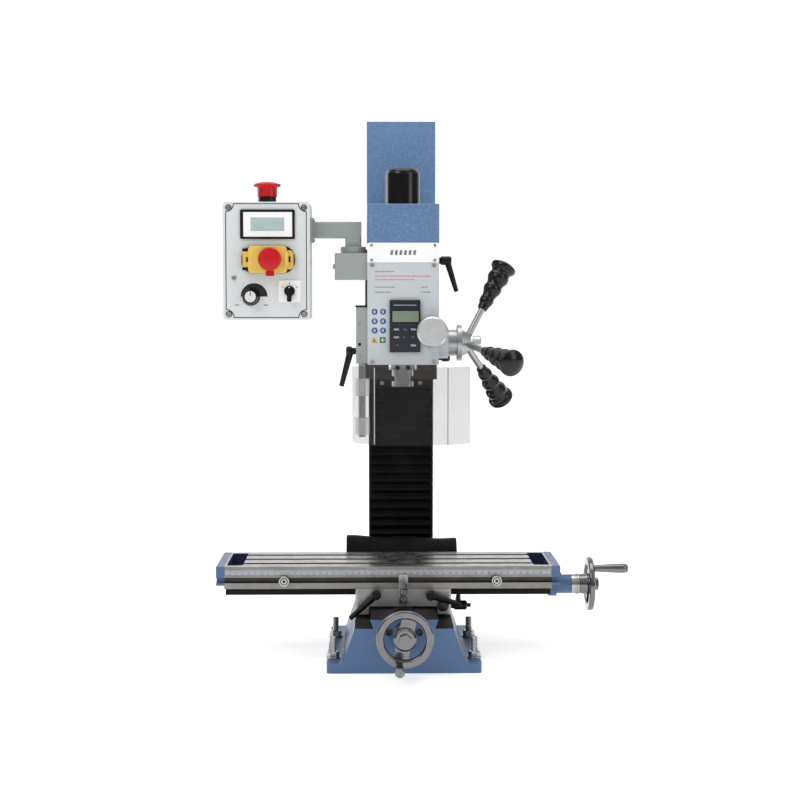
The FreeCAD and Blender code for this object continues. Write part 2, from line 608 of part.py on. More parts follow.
nut_arm = nut_arm.cut(bar(SCREW_R + RUN_GAP, (0, Z_SCREW_Y, 550), AXIS_Z, 50))
save("z_carriage", [carriage, nut_arm])

frame = block((-BELLOWS_HALF, BELLOWS_HALF), (BELLOWS_FRONT - 2, COLUMN_FACE - 0.4), (BELLOWS_TOP, FRAME_TOP))
frame_pieces = [frame]
for x in (-32.0, 32.0):
    frame_pieces.append(socket_screw(3.5, (x, BELLOWS_FRONT - 2, 418), -AXIS_Y, 3))
save("bellows_frame", frame_pieces)

# ---- head housing -----------------------------------------------------------------
BOSS_END = 70.0
BOSS_WIDE = 24.0
FINE_X = 44.0
FINE_Z = 508.0
FINE_R = 5.0
QUILL_PIVOT = (HEAD_HALF, SPINDLE_Y, 467.0)
head = block((-HEAD_HALF, HEAD_HALF), (HEAD_FRONT, HEAD_BACK), (HEAD_FOOT, HEAD_TOP))
head = soften(head, 4, AXIS_Z, lambda p: p.y > 0)
head = join([head, bar(BOSS_WIDE, (HEAD_HALF - 1, CAPSTAN_Y, CAPSTAN_Z), AXIS_X, BOSS_END - HEAD_HALF + 1)])
motor_bay = block((-44, 44), (MOTOR_Y - 46, MOTOR_Y + 40), (HEAD_FOOT + 12, HEAD_TOP + 1))
head = cut(head, [
    soften(motor_bay, 10, AXIS_Z),
    bar(QUILL_R + RUN_GAP, (0, SPINDLE_Y, HEAD_FOOT - 1), AXIS_Z, QUILL_TOP + 11 - HEAD_FOOT),
    bar(18.0 + RUN_GAP, (0, SPINDLE_Y, QUILL_TOP), AXIS_Z, HEAD_TOP + 1 - QUILL_TOP),
    bar(TILT_R + RUN_GAP, (0, CARRIAGE_FRONT - 12.5, TILT_Z), AXIS_Y, 14),
    bar(CAPSTAN_SHAFT_R + RUN_GAP, (-HEAD_HALF + 8, CAPSTAN_Y, CAPSTAN_Z), AXIS_X, 140),
    block((FINE_X - 8, FINE_X + 7), (-20, 10), (CAPSTAN_Z - 14, FINE_Z + 7)),
    bar(FINE_R + RUN_GAP, (FINE_X, HEAD_FRONT - 1, FINE_Z), AXIS_Y, 12),
    bar(LEVER_STUD_R + RUN_GAP, QUILL_PIVOT, -AXIS_X, 13)])
save("head_housing", [head])

COVER_SCREWS = [(x, z) for z in (461.7, 609.6) for x in (-47.5, 47.5)]
NAME_SCREWS = [(x, z) for z in (617.5, 640.0) for x in (-48.5, 48.5)]
cover = block((-HEAD_HALF, HEAD_HALF), (PLATE_FRONT, HEAD_FRONT), (HEAD_FOOT, NAME_PLATE_FOOT))
cover = soften(cover, 4, AXIS_Y, lambda p: p.z < HEAD_FOOT + 1)
cover = cover.cut(bar(FINE_R + 0.2, (FINE_X, PLATE_FRONT - 1, FINE_Z), AXIS_Y, 6))
cover_pieces = [cover]
for x, z in COVER_SCREWS:
    cover_pieces.append(socket_screw(3.2, (x, PLATE_FRONT, z), -AXIS_Y, 2))
save("head_cover", cover_pieces)
name_plate = block((-HEAD_HALF, HEAD_HALF), (PLATE_FRONT, HEAD_FRONT), (NAME_PLATE_FOOT + 0.3, HEAD_TOP))
name_pieces = [soften(name_plate, 3, AXIS_Y, lambda p: p.z > HEAD_TOP - 1)]
for x, z in NAME_SCREWS:
    name_pieces.append(socket_screw(2.2, (x, PLATE_FRONT, z), -AXIS_Y, 1.4))
save("name_plate", name_pieces)

COVER_BACK = 165.0
SHELL_T = 2.5
COVER_BORE = 12.0
shell = block((-HEAD_HALF - 0.5, HEAD_HALF + 0.5), (PLATE_FRONT, COVER_BACK), (HEAD_TOP, TOP_COVER_TOP))
shell = soften(shell, 5, AXIS_Z)
shell = soften(shell, 2, None, lambda p: p.z > TOP_COVER_TOP - 0.1)
hollow = block((-HEAD_HALF - 0.5 + SHELL_T, HEAD_HALF + 0.5 - SHELL_T),
               (PLATE_FRONT + SHELL_T, COVER_BACK - SHELL_T), (HEAD_TOP - 1, TOP_COVER_TOP - SHELL_T))
save("top_cover", [cut(shell, [hollow, bar(COVER_BORE, (0, SPINDLE_Y, HEAD_TOP), AXIS_Z, 70)])])

motor = bar(MOTOR_R, (0, MOTOR_Y, HEAD_FOOT + 12), AXIS_Z, 168)
motor = motor.makeFillet(4, [e for e in motor.Edges if len(e.Vertexes) == 1])
motor = cut(motor, [bar(6.0 + RUN_GAP, (0, MOTOR_Y, 560), AXIS_Z, 90)])
fins = [ring(MOTOR_R + 1.6, MOTOR_R, (0, MOTOR_Y, 490 + 12 * step), AXIS_Z, 4) for step in range(10)]
motor_plate = block((-43, 43), (MOTOR_Y - 40, MOTOR_Y + 39), (HEAD_FOOT + 180, HEAD_TOP))
motor_plate = soften(motor_plate, 10, AXIS_Z).cut(bar(12, (0, MOTOR_Y, 630), AXIS_Z, 30))
save("drive_motor", [join([motor] + fins), motor_plate])


def pulley(radius, centre_y, shaft_r, hub_foot, hub_r, bore_r):
    """A toothed-belt pulley with two flanges on a long hub."""
    body = join([
        bar(hub_r, (0, centre_y, hub_foot), AXIS_Z, PULLEY_FOOT + 1 - hub_foot),
        bar(radius + BELT_T + 1, (0, centre_y, PULLEY_FOOT), AXIS_Z, 3),
        bar(radius, (0, centre_y, PULLEY_FOOT), AXIS_Z, PULLEY_TOP - PULLEY_FOOT),
        bar(radius + BELT_T + 1, (0, centre_y, PULLEY_TOP - 3), AXIS_Z, 3)])
    if bore_r:
        return body.cut(bar(bore_r, (0, centre_y, hub_foot - 1), AXIS_Z, 200))
    return join([body, bar(shaft_r, (0, centre_y, 562), AXIS_Z, 100)])


SPLINE_R = 10.0
save("motor_pulley", [pulley(MOTOR_PULLEY_R, MOTOR_Y, 6.0, 645, 10.0, 0)])
save("spindle_pulley", [pulley(SPINDLE_PULLEY_R, SPINDLE_Y, 0, 612, 18.0, SPLINE_R + RUN_GAP)])


def belt_loop(grow):
    """The outline around both pulleys, grown outwards."""
    near = SPINDLE_PULLEY_R + grow
    far = MOTOR_PULLEY_R + grow
    lean = math.asin((near - far) / (MOTOR_Y - SPINDLE_Y))
    side = [(near * math.cos(lean), SPINDLE_Y + near * math.sin(lean)),
            (far * math.cos(lean), MOTOR_Y + far * math.sin(lean))]
    span = (PULLEY_FOOT + 6, PULLEY_TOP - 6)
    discs = [bar(near, (0, SPINDLE_Y, span[0]), AXIS_Z, span[1] - span[0]),
             bar(far, (0, MOTOR_Y, span[0]), AXIS_Z, span[1] - span[0])]
    return join([along_z(mirrored(side), span)] + discs)


save("drive_belt", [belt_loop(0.3 + BELT_T).cut(belt_loop(0.3))])

panel = block((-21, 26.3), (PLATE_FRONT - 5, PLATE_FRONT), (476.4, 556.5))
save("dro_panel", [soften(panel, 2, AXIS_Y)])

# ---- guard ------------------------------------------------------------------
GUARD_AXIS = (-63.5, -20.0)
GUARD_ROD_R = 5.75
GUARD_BLOCK_Z = (459.0, 545.4)
GUARD_PIVOT = (-72.5, GUARD_AXIS[1], 477.7)
guard_block = block((-72.5, -HEAD_HALF), (-32, -8), GUARD_BLOCK_Z)
guard_block = soften(guard_block, 2, AXIS_Z, lambda p: p.x < -70)
guard_block = cut(guard_block, [
    bar(GUARD_ROD_R + RUN_GAP, GUARD_AXIS + (GUARD_BLOCK_Z[0] - 1,), AXIS_Z, 79),
    bar(2.5, (-67, -33, 488.5), AXIS_Y, 3),
    bar(2.4 + RUN_GAP, GUARD_PIVOT, AXIS_X, 2.5)])
block_cap = soften(block((-73.5, -HEAD_HALF), (-33, -7), (GUARD_BLOCK_Z[1], 548.4)), 2, AXIS_Z)
guard_pieces = [guard_block, block_cap]
for z in (470.0, 520.0):
    guard_pieces.append(socket_screw(2, (-67, -32, z), -AXIS_Y, 1.5))
save("guard_block", guard_pieces)
save("guard_rod", [bar(GUARD_ROD_R, GUARD_AXIS + (344.6,), AXIS_Z, 170)])

GUARD_Z = (337.0, 455.0)
GUARD_T = 3.0
GUARD_PATH = [(-76, -28), (-44, -75), (67, -75), (100.5, -45)]
path = Part.Wire(Part.makePolygon([Vec(x, y, GUARD_Z[0]) for x, y in GUARD_PATH]))
sheet = path.makeOffset2D(GUARD_T, 2, True, True).extrude(Vec(0, 0, GUARD_Z[1] - GUARD_Z[0]))
guard_shape = [sheet]
for span in ((409.0, 435.7), (349.0, 375.0)):
    clip = block((-75, -52), (-33, -10), span)
    guard_shape.append(soften(clip, 4, AXIS_Z))
guard_shape = join(guard_shape).cut(bar(GUARD_ROD_R + RUN_GAP, GUARD_AXIS + (330,), AXIS_Z, 140))
save("guard_shield", [guard_shape])

# ---- quill and spindle -----------------------------------------------------------
quill = bar(QUILL_R, (0, SPINDLE_Y, QUILL_FOOT), AXIS_Z, QUILL_TOP - QUILL_FOOT)
RACK_FACE = CAPSTAN_Y + CAPSTAN_SHAFT_R + 0.3
quill = cut(quill, [
    bar(15.0 + RUN_GAP, (0, SPINDLE_Y, QUILL_FOOT - 1), AXIS_Z, 200),
    block((-30, 30), (-10, RACK_FACE), (QUILL_FOOT + 8, QUILL_TOP + 1))])
save("quill", [quill])
collar = join([
    bar(22.0, (0, SPINDLE_Y, 447), AXIS_Z, QUILL_FOOT - 447),
    block((-14.5, 14.5), (-4, SPINDLE_Y), (447, QUILL_FOOT))])
collar = collar.cut(bar(NOSE_R + 0.3, (0, SPINDLE_Y, 440), AXIS_Z, 30))
collar_pieces = [collar]
for x in (-8.0, 8.0):
    collar_pieces.append(socket_screw(3.6, (x, -4, 451.2), -AXIS_Y, 3))
save("quill_collar", collar_pieces)
TAPER_R = (8.9, 7.0)
TAPER_LENGTH = 75.0
spindle = join([
    bar(NOSE_R, (0, SPINDLE_Y, NOSE_FOOT), AXIS_Z, QUILL_FOOT - 0.5 - NOSE_FOOT),
    bar(15.0, (0, SPINDLE_Y, NOSE_FOOT + 10), AXIS_Z, QUILL_TOP - 1 - NOSE_FOOT - 10),
    bar(SPLINE_R, (0, SPINDLE_Y, QUILL_TOP - 10), AXIS_Z, 735 - QUILL_TOP + 10)])
spindle = cut(spindle, [
    Part.makeCone(TAPER_R[0], TAPER_R[1], TAPER_LENGTH, Vec(0, SPINDLE_Y, NOSE_FOOT)),
    bar(5.2, (0, SPINDLE_Y, NOSE_FOOT + 10), AXIS_Z, 400),
    block((-20, -12.5), (SPINDLE_Y - 20, SPINDLE_Y + 20), (NOSE_FOOT + 8, NOSE_FOOT + 16)),
    block((12.5, 20), (SPINDLE_Y - 20, SPINDLE_Y + 20), (NOSE_FOOT + 8, NOSE_FOOT + 16)),
    block((-5, 14), (SPINDLE_Y - 20, SPINDLE_Y - 13.5), (NOSE_FOOT + 3, NOSE_FOOT + 21))])
drawbar = join([bar(5.0, (0, SPINDLE_Y, NOSE_FOOT + 45), AXIS_Z, 735 - NOSE_FOOT - 44),
                hexagon(14, (0, SPINDLE_Y, 735), AXIS_Z, 9)])
save("spindle", [spindle, drawbar])
cap = turned([(24.5, TOP_COVER_TOP + SLIDE_GAP), (27, TOP_COVER_TOP + SLIDE_GAP), (27, 751),
              (17, 761.5, 24.1, 758.5), (0, 761.5), (0, 758.5), (16.5, 758.5),
              (24.5, 750.5, 22.2, 756.2)])
save("drawbar_cap", [placed(cap, (0, SPINDLE_Y, 0), AXIS_Z, AXIS_X)])

# ---- capstan ------------------------------------------------------------------
def rod_frame(angle):
    """Direction of one capstan rod: out from the shaft, leaning away from the head."""
    turn = math.radians(angle)
    lean = math.radians(CAPSTAN_LEAN)
    out = Vec(0, -math.cos(turn), math.sin(turn))
    return out * math.cos(lean) + AXIS_X * math.sin(lean)


HUB_X = 96.0
GRIP_START = 61.0
capstan_bits = [
    bar(CAPSTAN_SHAFT_R, (-HEAD_HALF + 9, CAPSTAN_Y, CAPSTAN_Z), AXIS_X, 150),
    bar(12, (FINE_X - 5, CAPSTAN_Y, CAPSTAN_Z), AXIS_X, 10),
    bar(20.3, (BOSS_END + SLIDE_GAP, CAPSTAN_Y, CAPSTAN_Z), AXIS_X, 15),
    bar(27.8, (84, CAPSTAN_Y, CAPSTAN_Z), AXIS_X, 7),
    Part.makeCone(22, 13, 15, Vec(90, CAPSTAN_Y, CAPSTAN_Z), AXIS_X)]
for angle in CAPSTAN_ANGLES:
    start = Vec(HUB_X, CAPSTAN_Y, CAPSTAN_Z)
    capstan_bits.append(Part.makeCylinder(ROD_R, GRIP_START + 55, start, rod_frame(angle)))
hub = join(capstan_bits).cut(bar(4.0 + RUN_GAP, (98.9, CAPSTAN_Y, CAPSTAN_Z), AXIS_X, 20))
save("capstan_hub", [hub])
ball_grip = turned([
    (ROD_R, 0), (7.0, 0), (7.8, 1), (9.0, 9), (10.2, 21.5, 11.2, 15.5), (12.6, 31, 10.9, 26.3),
    (12.9, 43, 14.4, 37.3), (15.2, 51.5, 13.5, 47), (15.5, 63.5, 17.0, 57.7), (19.2, 72.5, 16.0, 68.5),
    (20.2, 76.5, 20.0, 74.3), (19.6, 79.5, 20.3, 78), crown(19.6, 79.5, 86), (0, 56), (ROD_R, 56)])
save("capstan_grips", [
    placed(ball_grip, tuple(Vec(HUB_X, CAPSTAN_Y, CAPSTAN_Z) + rod_frame(angle) * GRIP_START), rod_frame(angle))
    for angle in CAPSTAN_ANGLES])
clutch = turned([(0, -6), (4, -6), (4, 4), (11.25, 4), (11.25, 14), (9.5, 16), (0, 16)])
ribs = [placed(bar(1.2, (11.6, 0, 5), AXIS_Z, 8), (0, 0, 0), AXIS_Z, (math.cos(k * 0.5236), math.sin(k * 0.5236), 0))
        for k in range(12)]
save("clutch_knob", [placed(cut(clutch, ribs), (105.3, CAPSTAN_Y, CAPSTAN_Z), AXIS_X)])
fine = turned([(0, -30), (FINE_R, -30), (FINE_R, 1), (22, 1), (23.5, 2.5), (23.5, 24), (21, 26.5), (0, 26.5)])
flutes = [placed(bar(1.0, (23.7, 0, 0), AXIS_Z, 24), (0, 0, 0), AXIS_Z,
                 (math.cos(k * 0.2618), math.sin(k * 0.2618), 0)) for k in range(24)]
FINE_ORIGIN = (FINE_X, PLATE_FRONT - 4, FINE_Z)
save("fine_feed_knob", [placed(cut(fine, flutes), FINE_ORIGIN, -AXIS_Y)])


# ---- clamping levers ---------------------------------------------------------
def clamp_lever(length, rise, stud=10.0, stud_r=LEVER_STUD_R, tall=19.5, stub=0.0, arm_at=13.0):
    """An indexed clamping lever: stud, round hub about local Z, tapered arm along local X."""
    hub = turned([(0, SLIDE_GAP), (5, SLIDE_GAP), (5.4, 6), (7.4, 8), (7.4, tall - 2.5), (5.8, tall), (0, tall)])
    lean = math.radians(rise)
    run = Vec(math.cos(lean), 0, math.sin(lean))
    start = Vec(2, 0, arm_at)
    arm = Part.makeCone(5.4, 3.7, length - 2, start, run)
    arm = arm.makeFillet(0.8, [e for e in arm.Edges if len(e.Vertexes) == 1 and e.CenterOfMass.x > length / 2])
    metal = [bar(stud_r, (0, 0, -stud), AXIS_Z, stud + SLIDE_GAP)]
    recess = bar(4.6, (0, 0, tall - 3), AXIS_Z, 4)
    if not stub:
        metal.append(socket_screw(3.4, (0, 0, tall - 3), AXIS_Z, 2.2))
        hub = hub.cut(recess)
        arm = arm.cut(recess)
    if stub:
        metal.append(bar(3.0, (0, 0, tall), AXIS_Z, stub))
    return [join([hub, arm])] + metal


LEVERS = (
    ("x_lock_left", LEFT_PIVOT, -AXIS_Y, (-39.2, 0, -34.5), 54.0, 4.0, 10.0, LEVER_STUD_R),
    ("x_lock_right", RIGHT_PIVOT, -AXIS_Y, (45.0, 0, -13.0), 48.0, 6.0, 10.0, LEVER_STUD_R),
    ("y_lock", SIDE_PIVOT, AXIS_X, (0, 1, 0.2), 40.0, 4.0, 5.0, LEVER_STUD_R, 27.0, 6.0),
    ("z_lock", CARRIAGE_PIVOT, AXIS_X, (0, 0, -1), 54.0, 17.0, 8.5, LEVER_STUD_R, 24.5, 0.0, 18.0),
    ("quill_lock", QUILL_PIVOT, AXIS_X, (0, 1, 0.05), 46.0, 8.0, 10.0, LEVER_STUD_R),
    ("guard_lever", GUARD_PIVOT, -AXIS_X, (0, 0, -1), 56.0, 14.5, 2.0, 2.4, 15.5, 0.0, 9.4))
for name, pivot, axis, arm, *sizes in LEVERS:
    save(name, [placed(piece, pivot, axis, arm) for piece in clamp_lever(*sizes)])

# ---- control box arm --------------------------------------------------------------
SX, SY = SWIVEL
PIN_R = 8.0
bracket = soften(block((-105, -HEAD_HALF), (SY - 25, SY + 25), (587.4, 628.4)), 4, AXIS_Z, lambda p: p.x < -100)
bracket = bracket.cut(bar(PIN_R + RUN_GAP, (SX, SY, 598), AXIS_Z, 40))
bracket_pieces = [bracket]
for y in (SY - 15, SY + 15):
    bracket_pieces.append(socket_screw(3.5, (-105, y, 608), -AXIS_X, 3))
save("arm_bracket", bracket_pieces)
TUBE = 12.5
beam = block((BOX_X[1] + 3, SX + TUBE), (SY - TUBE, SY + TUBE), (651.7, 676.7))
beam = soften(beam, 3, AXIS_X)
leg = soften(block((SX - TUBE, SX + TUBE), (SY - TUBE, SY + TUBE), (638, 676)), 3, AXIS_Z)
arm = join([
    soften(block((BOX_X[1], BOX_X[1] + 4), (SY - 19, SY + 19), (645, 683)), 4, AXIS_X),
    beam, leg,
    bar(19.5, (SX, SY, 628.4 + SLIDE_GAP), AXIS_Z, 9.7),
    bar(PIN_R, (SX, SY, 600), AXIS_Z, 40)])
arm_pieces = [arm]
for y in (SY - 15.2, SY + 15.2):
    for z in (648.8, 679.2):
        arm_pieces.append(bar(2, (BOX_X[1] + 4, y, z), AXIS_X, 1.5))
save("control_arm", arm_pieces)

# ---- control box ------------------------------------------------------------------
STOP_AXIS = (-209.5, -5.0)
SPEED_SPOT = (-232.0, 561.4)
SELECTOR_SPOT = (-173.2, 570.0)
SWITCH_X = (-246.0, -165.0)
SWITCH_Z = (597.0, 638.5)
SWITCH_FACE = BOX_FRONT - 6
PAD_SPOT = (-201.8, 618.0)
START_SPOT = (-223.0, 618.0)
BEZEL = ((-248.0, -165.0), (649.0, 693.6))
BEZEL_FACE = BOX_FRONT - 3
BOX_MID = BOX_FRONT + LID_T
box_body = soften(block(BOX_X, (BOX_MID, BOX_BACK), BOX_Z), 5, AXIS_Y)
box_hollow = block((BOX_X[0] + BOX_WALL, BOX_X[1] - BOX_WALL), (BOX_MID - 1, BOX_BACK - BOX_WALL),
                   (BOX_Z[0] + BOX_WALL, BOX_Z[1] - BOX_WALL))
box_body = cut(box_body, [box_hollow, bar(7.5, STOP_AXIS + (BOX_Z[1] - 8,), AXIS_Z, 20)])
save("control_box", [box_body])
lid = soften(block(BOX_X, (BOX_FRONT, BOX_MID), BOX_Z), 5, AXIS_Y)
lid = soften(lid, 1.2, None, lambda p: p.y < BOX_FRONT + 0.1)
lid = lid.cut(block((BOX_X[0] + BOX_WALL, BOX_X[1] - BOX_WALL), (BOX_FRONT + BOX_WALL, BOX_MID + 1),
                    (BOX_Z[0] + BOX_WALL, BOX_Z[1] - BOX_WALL)))
KNOB_SHAFT_R = 3.0
for x, z in (SPEED_SPOT, SELECTOR_SPOT):
    lid = lid.cut(bar(KNOB_SHAFT_R + RUN_GAP, (x, BOX_FRONT - 1, z), AXIS_Y, 6))
BUTTON_R = 6.0
for x, z in (PAD_SPOT, START_SPOT):
    lid = lid.cut(bar(BUTTON_R + 1, (x, BOX_FRONT - 1, z), AXIS_Y, 6))
save("control_lid", [lid])

HINGE_X = SWITCH_X[0] + 5
HINGE_Y = BOX_FRONT - 9
bezel = soften(block(BEZEL[0], (BEZEL_FACE, BOX_FRONT), BEZEL[1]), 2, AXIS_Y)
bezel = bezel.cut(block((-233, -180), (BEZEL_FACE - 1, BEZEL_FACE + 1.5), (660, 682.5)))
switch_base = soften(block(SWITCH_X, (SWITCH_FACE, BOX_FRONT), SWITCH_Z), 18, AXIS_Y)
for x, z in (PAD_SPOT, START_SPOT):
    switch_base = switch_base.cut(bar(BUTTON_R + RUN_GAP, (x, SWITCH_FACE - 1, z), AXIS_Y, 8))
hinge_lug = block((HINGE_X - 3, HINGE_X + 3), (HINGE_Y - 3, BOX_FRONT), (601.5, 605.8))
hinge_top = block((HINGE_X - 3, HINGE_X + 3), (HINGE_Y - 3, BOX_FRONT), (630.2, 634.5))
switch_base = join([switch_base, hinge_lug, hinge_top])
selector_plate = soften(block((-190, -156.5), (BOX_FRONT - 2, BOX_FRONT), (553, 586.5)), 2.5, AXIS_Y)
selector_plate = selector_plate.cut(
    bar(KNOB_SHAFT_R + RUN_GAP, (SELECTOR_SPOT[0], BOX_FRONT - 3, SELECTOR_SPOT[1]), AXIS_Y, 6))
stop_collar = ring(14, 6.0 + RUN_GAP, STOP_AXIS + (BOX_Z[1],), AXIS_Z, 13.5)
panel_fittings = [bezel, switch_base, selector_plate, stop_collar]
for x in (BOX_X[0] + 9, BOX_X[1] - 9):
    for z in (BOX_Z[0] + 9, BOX_Z[1] - 9):
        panel_fittings.append(socket_screw(4, (x, BOX_FRONT, z), -AXIS_Y, 1.8))
panel_fittings.append(socket_screw(3.5, (-258.0, BOX_FRONT, 590), -AXIS_Y, 2.2))
save("panel_fittings", panel_fittings)

mushroom = turned([
    (0, -6), (6, -6), (6, 18.6), (14.3, 18.6), (14.3, 10), (15.2, 10), (15.2, 22.5), (19.6, 25, 16.3, 24.6),
    (20.8, 26.3), (20.8, 29, 21.2, 27.6), crown(20.8, 29, 33)])
save("estop_button", [placed(mushroom, STOP_AXIS + (BOX_Z[1],), AXIS_Z, AXIS_X)])

FLIP_X = (-234.8, -176.5)
FLIP_Z = (597.2, 637.8)
flip = block(FLIP_X, (SWITCH_FACE - 15, SWITCH_FACE - 0.3), FLIP_Z)
flip = soften(flip, 5, AXIS_Y)
flip = soften(flip, 1.5, None, lambda p: p.y < SWITCH_FACE - 14.9)
flip = flip.cut(block((FLIP_X[0] + 2, FLIP_X[1] - 2), (SWITCH_FACE - 13, SWITCH_FACE), (FLIP_Z[0] + 2, FLIP_Z[1] - 2)))
barrel = bar(3, (HINGE_X, HINGE_Y, 606.2), AXIS_Z, 23.6)
strap = block((HINGE_X, FLIP_X[0] + 1), (HINGE_Y - 3, HINGE_Y), (606.2, 629.8))
strap = strap.cut(block((HINGE_X + 2, FLIP_X[0]), (HINGE_Y - 4, HINGE_Y + 1), (614, 621)))
latch = soften(block((FLIP_X[1] - 1, -166.8), (SWITCH_FACE - 8, SWITCH_FACE - 0.3), (602.8, 631.6)), 6, AXIS_Y,
               lambda p: p.x > -170)
latch = latch.cut(block((-174, -171), (SWITCH_FACE - 9, SWITCH_FACE), (613.5, 622.5)))
pull = soften(block((-179, -174.6), (SWITCH_FACE - 17.5, SWITCH_FACE - 7), (606.5, 628.5)), 1.5, AXIS_X)
tab = soften(block((-208.2, -195.2), (SWITCH_FACE - 16.5, SWITCH_FACE - 9), (592.6, 600.2)), 1.5, AXIS_Y)
flip = join([flip, barrel, strap, latch, pull, tab])
PAD_STEM_R = 5.0
flip = flip.cut(bar(PAD_STEM_R + RUN_GAP, (PAD_SPOT[0], SWITCH_FACE - 16, PAD_SPOT[1]), AXIS_Y, 6))
save("switch_cover", [flip])
pad = turned([
    (0, -7), (PAD_STEM_R, -7), (PAD_STEM_R, 3), (15, 3), (17.5, 5.5), (17.5, 7.5), (15, 10.6, 16.8, 9.6),
    crown(15, 10.6, 12)])
save("switch_pad", [placed(pad, (PAD_SPOT[0], SWITCH_FACE - 15, PAD_SPOT[1]), -AXIS_Y)])
button = turned([(0, -6), (BUTTON_R, -6), (BUTTON_R, 3.2), (BUTTON_R - 0.8, 4), (0, 4)])
save("start_button", [placed(button, (START_SPOT[0], SWITCH_FACE, START_SPOT[1]), -AXIS_Y)])
save("stop_button", [placed(button, (PAD_SPOT[0], SWITCH_FACE, PAD_SPOT[1]), -AXIS_Y)])

speed = turned([
    (0, -4), (KNOB_SHAFT_R, -4), (KNOB_SHAFT_R, 0.4), (13.6, 0.4), (13.6, 2.4), (12, 5), (10.8, 16),
    (9.6, 17.2), (8.4, 17.2), (8.4, 16.8), (0, 16.8)])
grooves = [placed(bar(0.9, (12.2, 0, 5.5), AXIS_Z, 14), (0, 0, 0), AXIS_Z,
                  (math.cos(k * 0.3491), math.sin(k * 0.3491), 0)) for k in range(18)]
save("speed_knob", [placed(cut(speed, grooves), (SPEED_SPOT[0], BOX_FRONT, SPEED_SPOT[1]), -AXIS_Y)])
skirt = turned([(0, -5), (KNOB_SHAFT_R, -5), (KNOB_SHAFT_R, 0.4), (8.2, 0.4), (8.2, 4.4), (7.2, 5.4), (0, 5.4)])
handle = soften(block((-4, 16.4), (-3.4, 3.4), (1.5, 14)), 2.5, AXIS_Z)
selector = placed(join([skirt, handle]), (SELECTOR_SPOT[0], BOX_FRONT - 2, SELECTOR_SPOT[1]), -AXIS_Y, (0, 0, -1))
save("selector_handle", [selector])
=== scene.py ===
import math
import random

import bmesh
import bpy
from mathutils import Matrix, Vector


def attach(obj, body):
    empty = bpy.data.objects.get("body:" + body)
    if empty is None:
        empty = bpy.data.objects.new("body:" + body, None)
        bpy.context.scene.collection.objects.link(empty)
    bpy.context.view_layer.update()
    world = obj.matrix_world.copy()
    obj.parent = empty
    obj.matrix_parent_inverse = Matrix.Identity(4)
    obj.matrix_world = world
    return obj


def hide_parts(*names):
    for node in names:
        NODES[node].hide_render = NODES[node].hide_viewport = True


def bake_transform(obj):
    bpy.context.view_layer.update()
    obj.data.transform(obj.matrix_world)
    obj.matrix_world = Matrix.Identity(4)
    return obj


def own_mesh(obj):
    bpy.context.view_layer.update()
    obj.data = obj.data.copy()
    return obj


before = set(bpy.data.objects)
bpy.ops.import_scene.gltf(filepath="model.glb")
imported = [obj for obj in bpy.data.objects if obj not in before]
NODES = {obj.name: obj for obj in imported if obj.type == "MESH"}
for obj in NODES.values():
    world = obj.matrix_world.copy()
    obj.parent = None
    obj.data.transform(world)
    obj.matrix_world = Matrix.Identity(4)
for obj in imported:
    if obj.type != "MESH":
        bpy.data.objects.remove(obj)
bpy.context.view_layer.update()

MM = 0.001
random.seed(7)


# ---- small helpers ----------------------------------------------------------------
def tone(red, green, blue):
    """A colour given as 0-255 display values, in linear light."""
    out = []
    for value in (red, green, blue):
        share = value / 255
        out.append(share / 12.92 if share <= 0.04045 else ((share + 0.055) / 1.055) ** 2.4)
    return (out[0], out[1], out[2], 1.0)


def millimetres(*values):
    """A point or size given in millimetres."""
    return Vector(values) * MM


